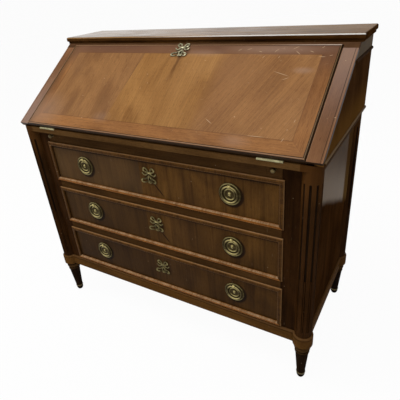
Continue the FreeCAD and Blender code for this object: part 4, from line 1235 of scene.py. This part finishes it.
def dress(material, nodes):
    for name in nodes:
        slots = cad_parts[name].data.materials
        slots.clear()
        slots.append(material)


def dress_wood():
    dress(lid_veneer(), ["lid_panel"])
    dress(lid_edge_finish(), ["lid_edge_moulding"])
    dress(leather_finish(), ["lid_leather"])
    dress(slope_stile_finish(), ["slope_stiles"])
    dress(top_finish(), ["top_board"])
    dress(drawer_frame_finish(), per_drawer("drawer_frame_"))
    for name, axis, light, dark, cloud, streak, seed, settings, nodes in VENEERS:
        dress(plain_veneer(name, axis, srgb(*light), srgb(*dark), cloud, streak, seed, **settings), nodes)


def dress_brass():
    hinge_brass = brass_finish("hinge_brass", even_rise, srgb(212, 206, 162), srgb(120, 108, 66))
    dress(hinge_brass, ["hinge_fixed_leaves", "hinge_lid_leaves"])
    dull_brass = brass_finish("dull_brass", even_rise, srgb(124, 108, 72), srgb(58, 48, 27))
    dress(dull_brass, ["leg_collars", "loper_knob_left", "loper_knob_right", "lid_lock"])
    dress(dull_brass, per_drawer("drawer_lock_"))


dress_wood()
dress_brass()
mount_brass()


# Camera, floor and light

LENS_PX = 395.85
IMAGE_PX = 400
SENSOR_MM = 36.0
CAMERA_AT = Vector((0.6939, -1.03655, 1.0995))
CAMERA_TURN = math.radians(-32.612)
CAMERA_TILT = math.radians(-28.764)
CAMERA_ROLL = math.radians(-5.183)
STAGE_R = 12.0
STAGE_WALL = 6.0
STAGE_GLOW = 0.96
ROOM_LIGHT = 0.3
WHITE = (1, 1, 1, 1)


def photo_camera():
    ahead = Vector((
        math.sin(CAMERA_TURN) * math.cos(CAMERA_TILT), math.cos(CAMERA_TURN) * math.cos(CAMERA_TILT),
        math.sin(CAMERA_TILT)))
    level = ahead.cross(Vector((0, 0, 1))).normalized()
    over = level.cross(ahead)
    right = level * math.cos(CAMERA_ROLL) + over * math.sin(CAMERA_ROLL)
    up = over * math.cos(CAMERA_ROLL) - level * math.sin(CAMERA_ROLL)
    data = bpy.data.cameras.new("photo_camera")
    data.sensor_fit = "HORIZONTAL"
    data.sensor_width = SENSOR_MM
    data.lens = LENS_PX * SENSOR_MM / IMAGE_PX
    data.clip_start = 0.01
    camera = bpy.data.objects.new("photo_camera", data)
    bpy.context.scene.collection.objects.link(camera)
    turn = Matrix((right, up, -ahead)).transposed().to_4x4()
    camera.matrix_world = Matrix.Translation(CAMERA_AT) @ turn
    bpy.context.scene.camera = camera


def soft_light(name, place, aim, width, depth, watts):
    data = bpy.data.lights.new(name, "AREA")
    data.shape = "RECTANGLE"
    data.size = width
    data.size_y = depth
    data.energy = watts
    lamp = bpy.data.objects.new(name, data)
    bpy.context.scene.collection.objects.link(lamp)
    lamp.location = place
    lamp.rotation_euler = (Vector(aim) - Vector(place)).to_track_quat("-Z", "Y").to_euler()


def show_mix(share, first, second, output):
    # Two surfaces mixed by a share of the second
    mix = add_node("MixShader", {0: share, 1: first.outputs[0], 2: second.outputs[0]})
    link(mix.outputs[0], Bench.tree.nodes[output].inputs["Surface"])


def pale_stage():
    # Round floor with a wall, white to the eye and in reflections
    floor = added("floor", bpy.ops.mesh.primitive_circle_add, vertices=96, radius=STAGE_R, fill_type="NGON")
    bpy.ops.object.mode_set(mode="EDIT")
    bpy.ops.mesh.select_mode(type="EDGE")
    bpy.ops.mesh.select_all(action="SELECT")
    bpy.ops.mesh.region_to_loop()
    bpy.ops.mesh.extrude_edges_move(TRANSFORM_OT_translate={"value": (0, 0, STAGE_WALL)})
    bpy.ops.object.mode_set(mode="OBJECT")
    material, shader = new_finish("pale_stage")
    shader.inputs["Base Color"].default_value = (0.9, 0.9, 0.9, 1)
    shader.inputs["Roughness"].default_value = 0.9
    shader.inputs["Specular IOR Level"].default_value = 0.0
    glow = add_node("Emission", {"Color": WHITE, "Strength": 1.0})
    path = add_node("LightPath").outputs
    seen = most(path["Is Camera Ray"], path["Is Glossy Ray"])
    seen = most(seen, path["Is Transmission Ray"])
    show_mix(times(seen, STAGE_GLOW), shader, glow, "Material Output")
    floor.data.materials.append(material)


def studio_world():
    # Warm light from all round, and white behind the stage's wall in low views
    world = bpy.data.worlds.new("studio")
    bpy.context.scene.world = world
    world.use_nodes = True
    Bench.tree = world.node_tree
    room = Bench.tree.nodes["Background"]
    room.inputs["Color"].default_value = (1.0, 0.98, 0.95, 1)
    room.inputs["Strength"].default_value = ROOM_LIGHT
    beyond = add_node("Background", {"Color": WHITE, "Strength": 1.0})
    seen = add_node("LightPath").outputs["Is Camera Ray"]
    show_mix(seen, room, beyond, "World Output")


photo_camera()
pale_stage()
studio_world()
soft_light("ceiling_light", (-0.4, -0.9, 3.2), (0, 0, 0.6), 2.6, 2.0, 62)
soft_light("left_window", (-3.0, -1.2, 2.4), (0, 0, 0.7), 1.2, 1.6, 18)
bpy.context.scene.view_settings.view_transform = "Standard"

bpy.context.view_layer.update()
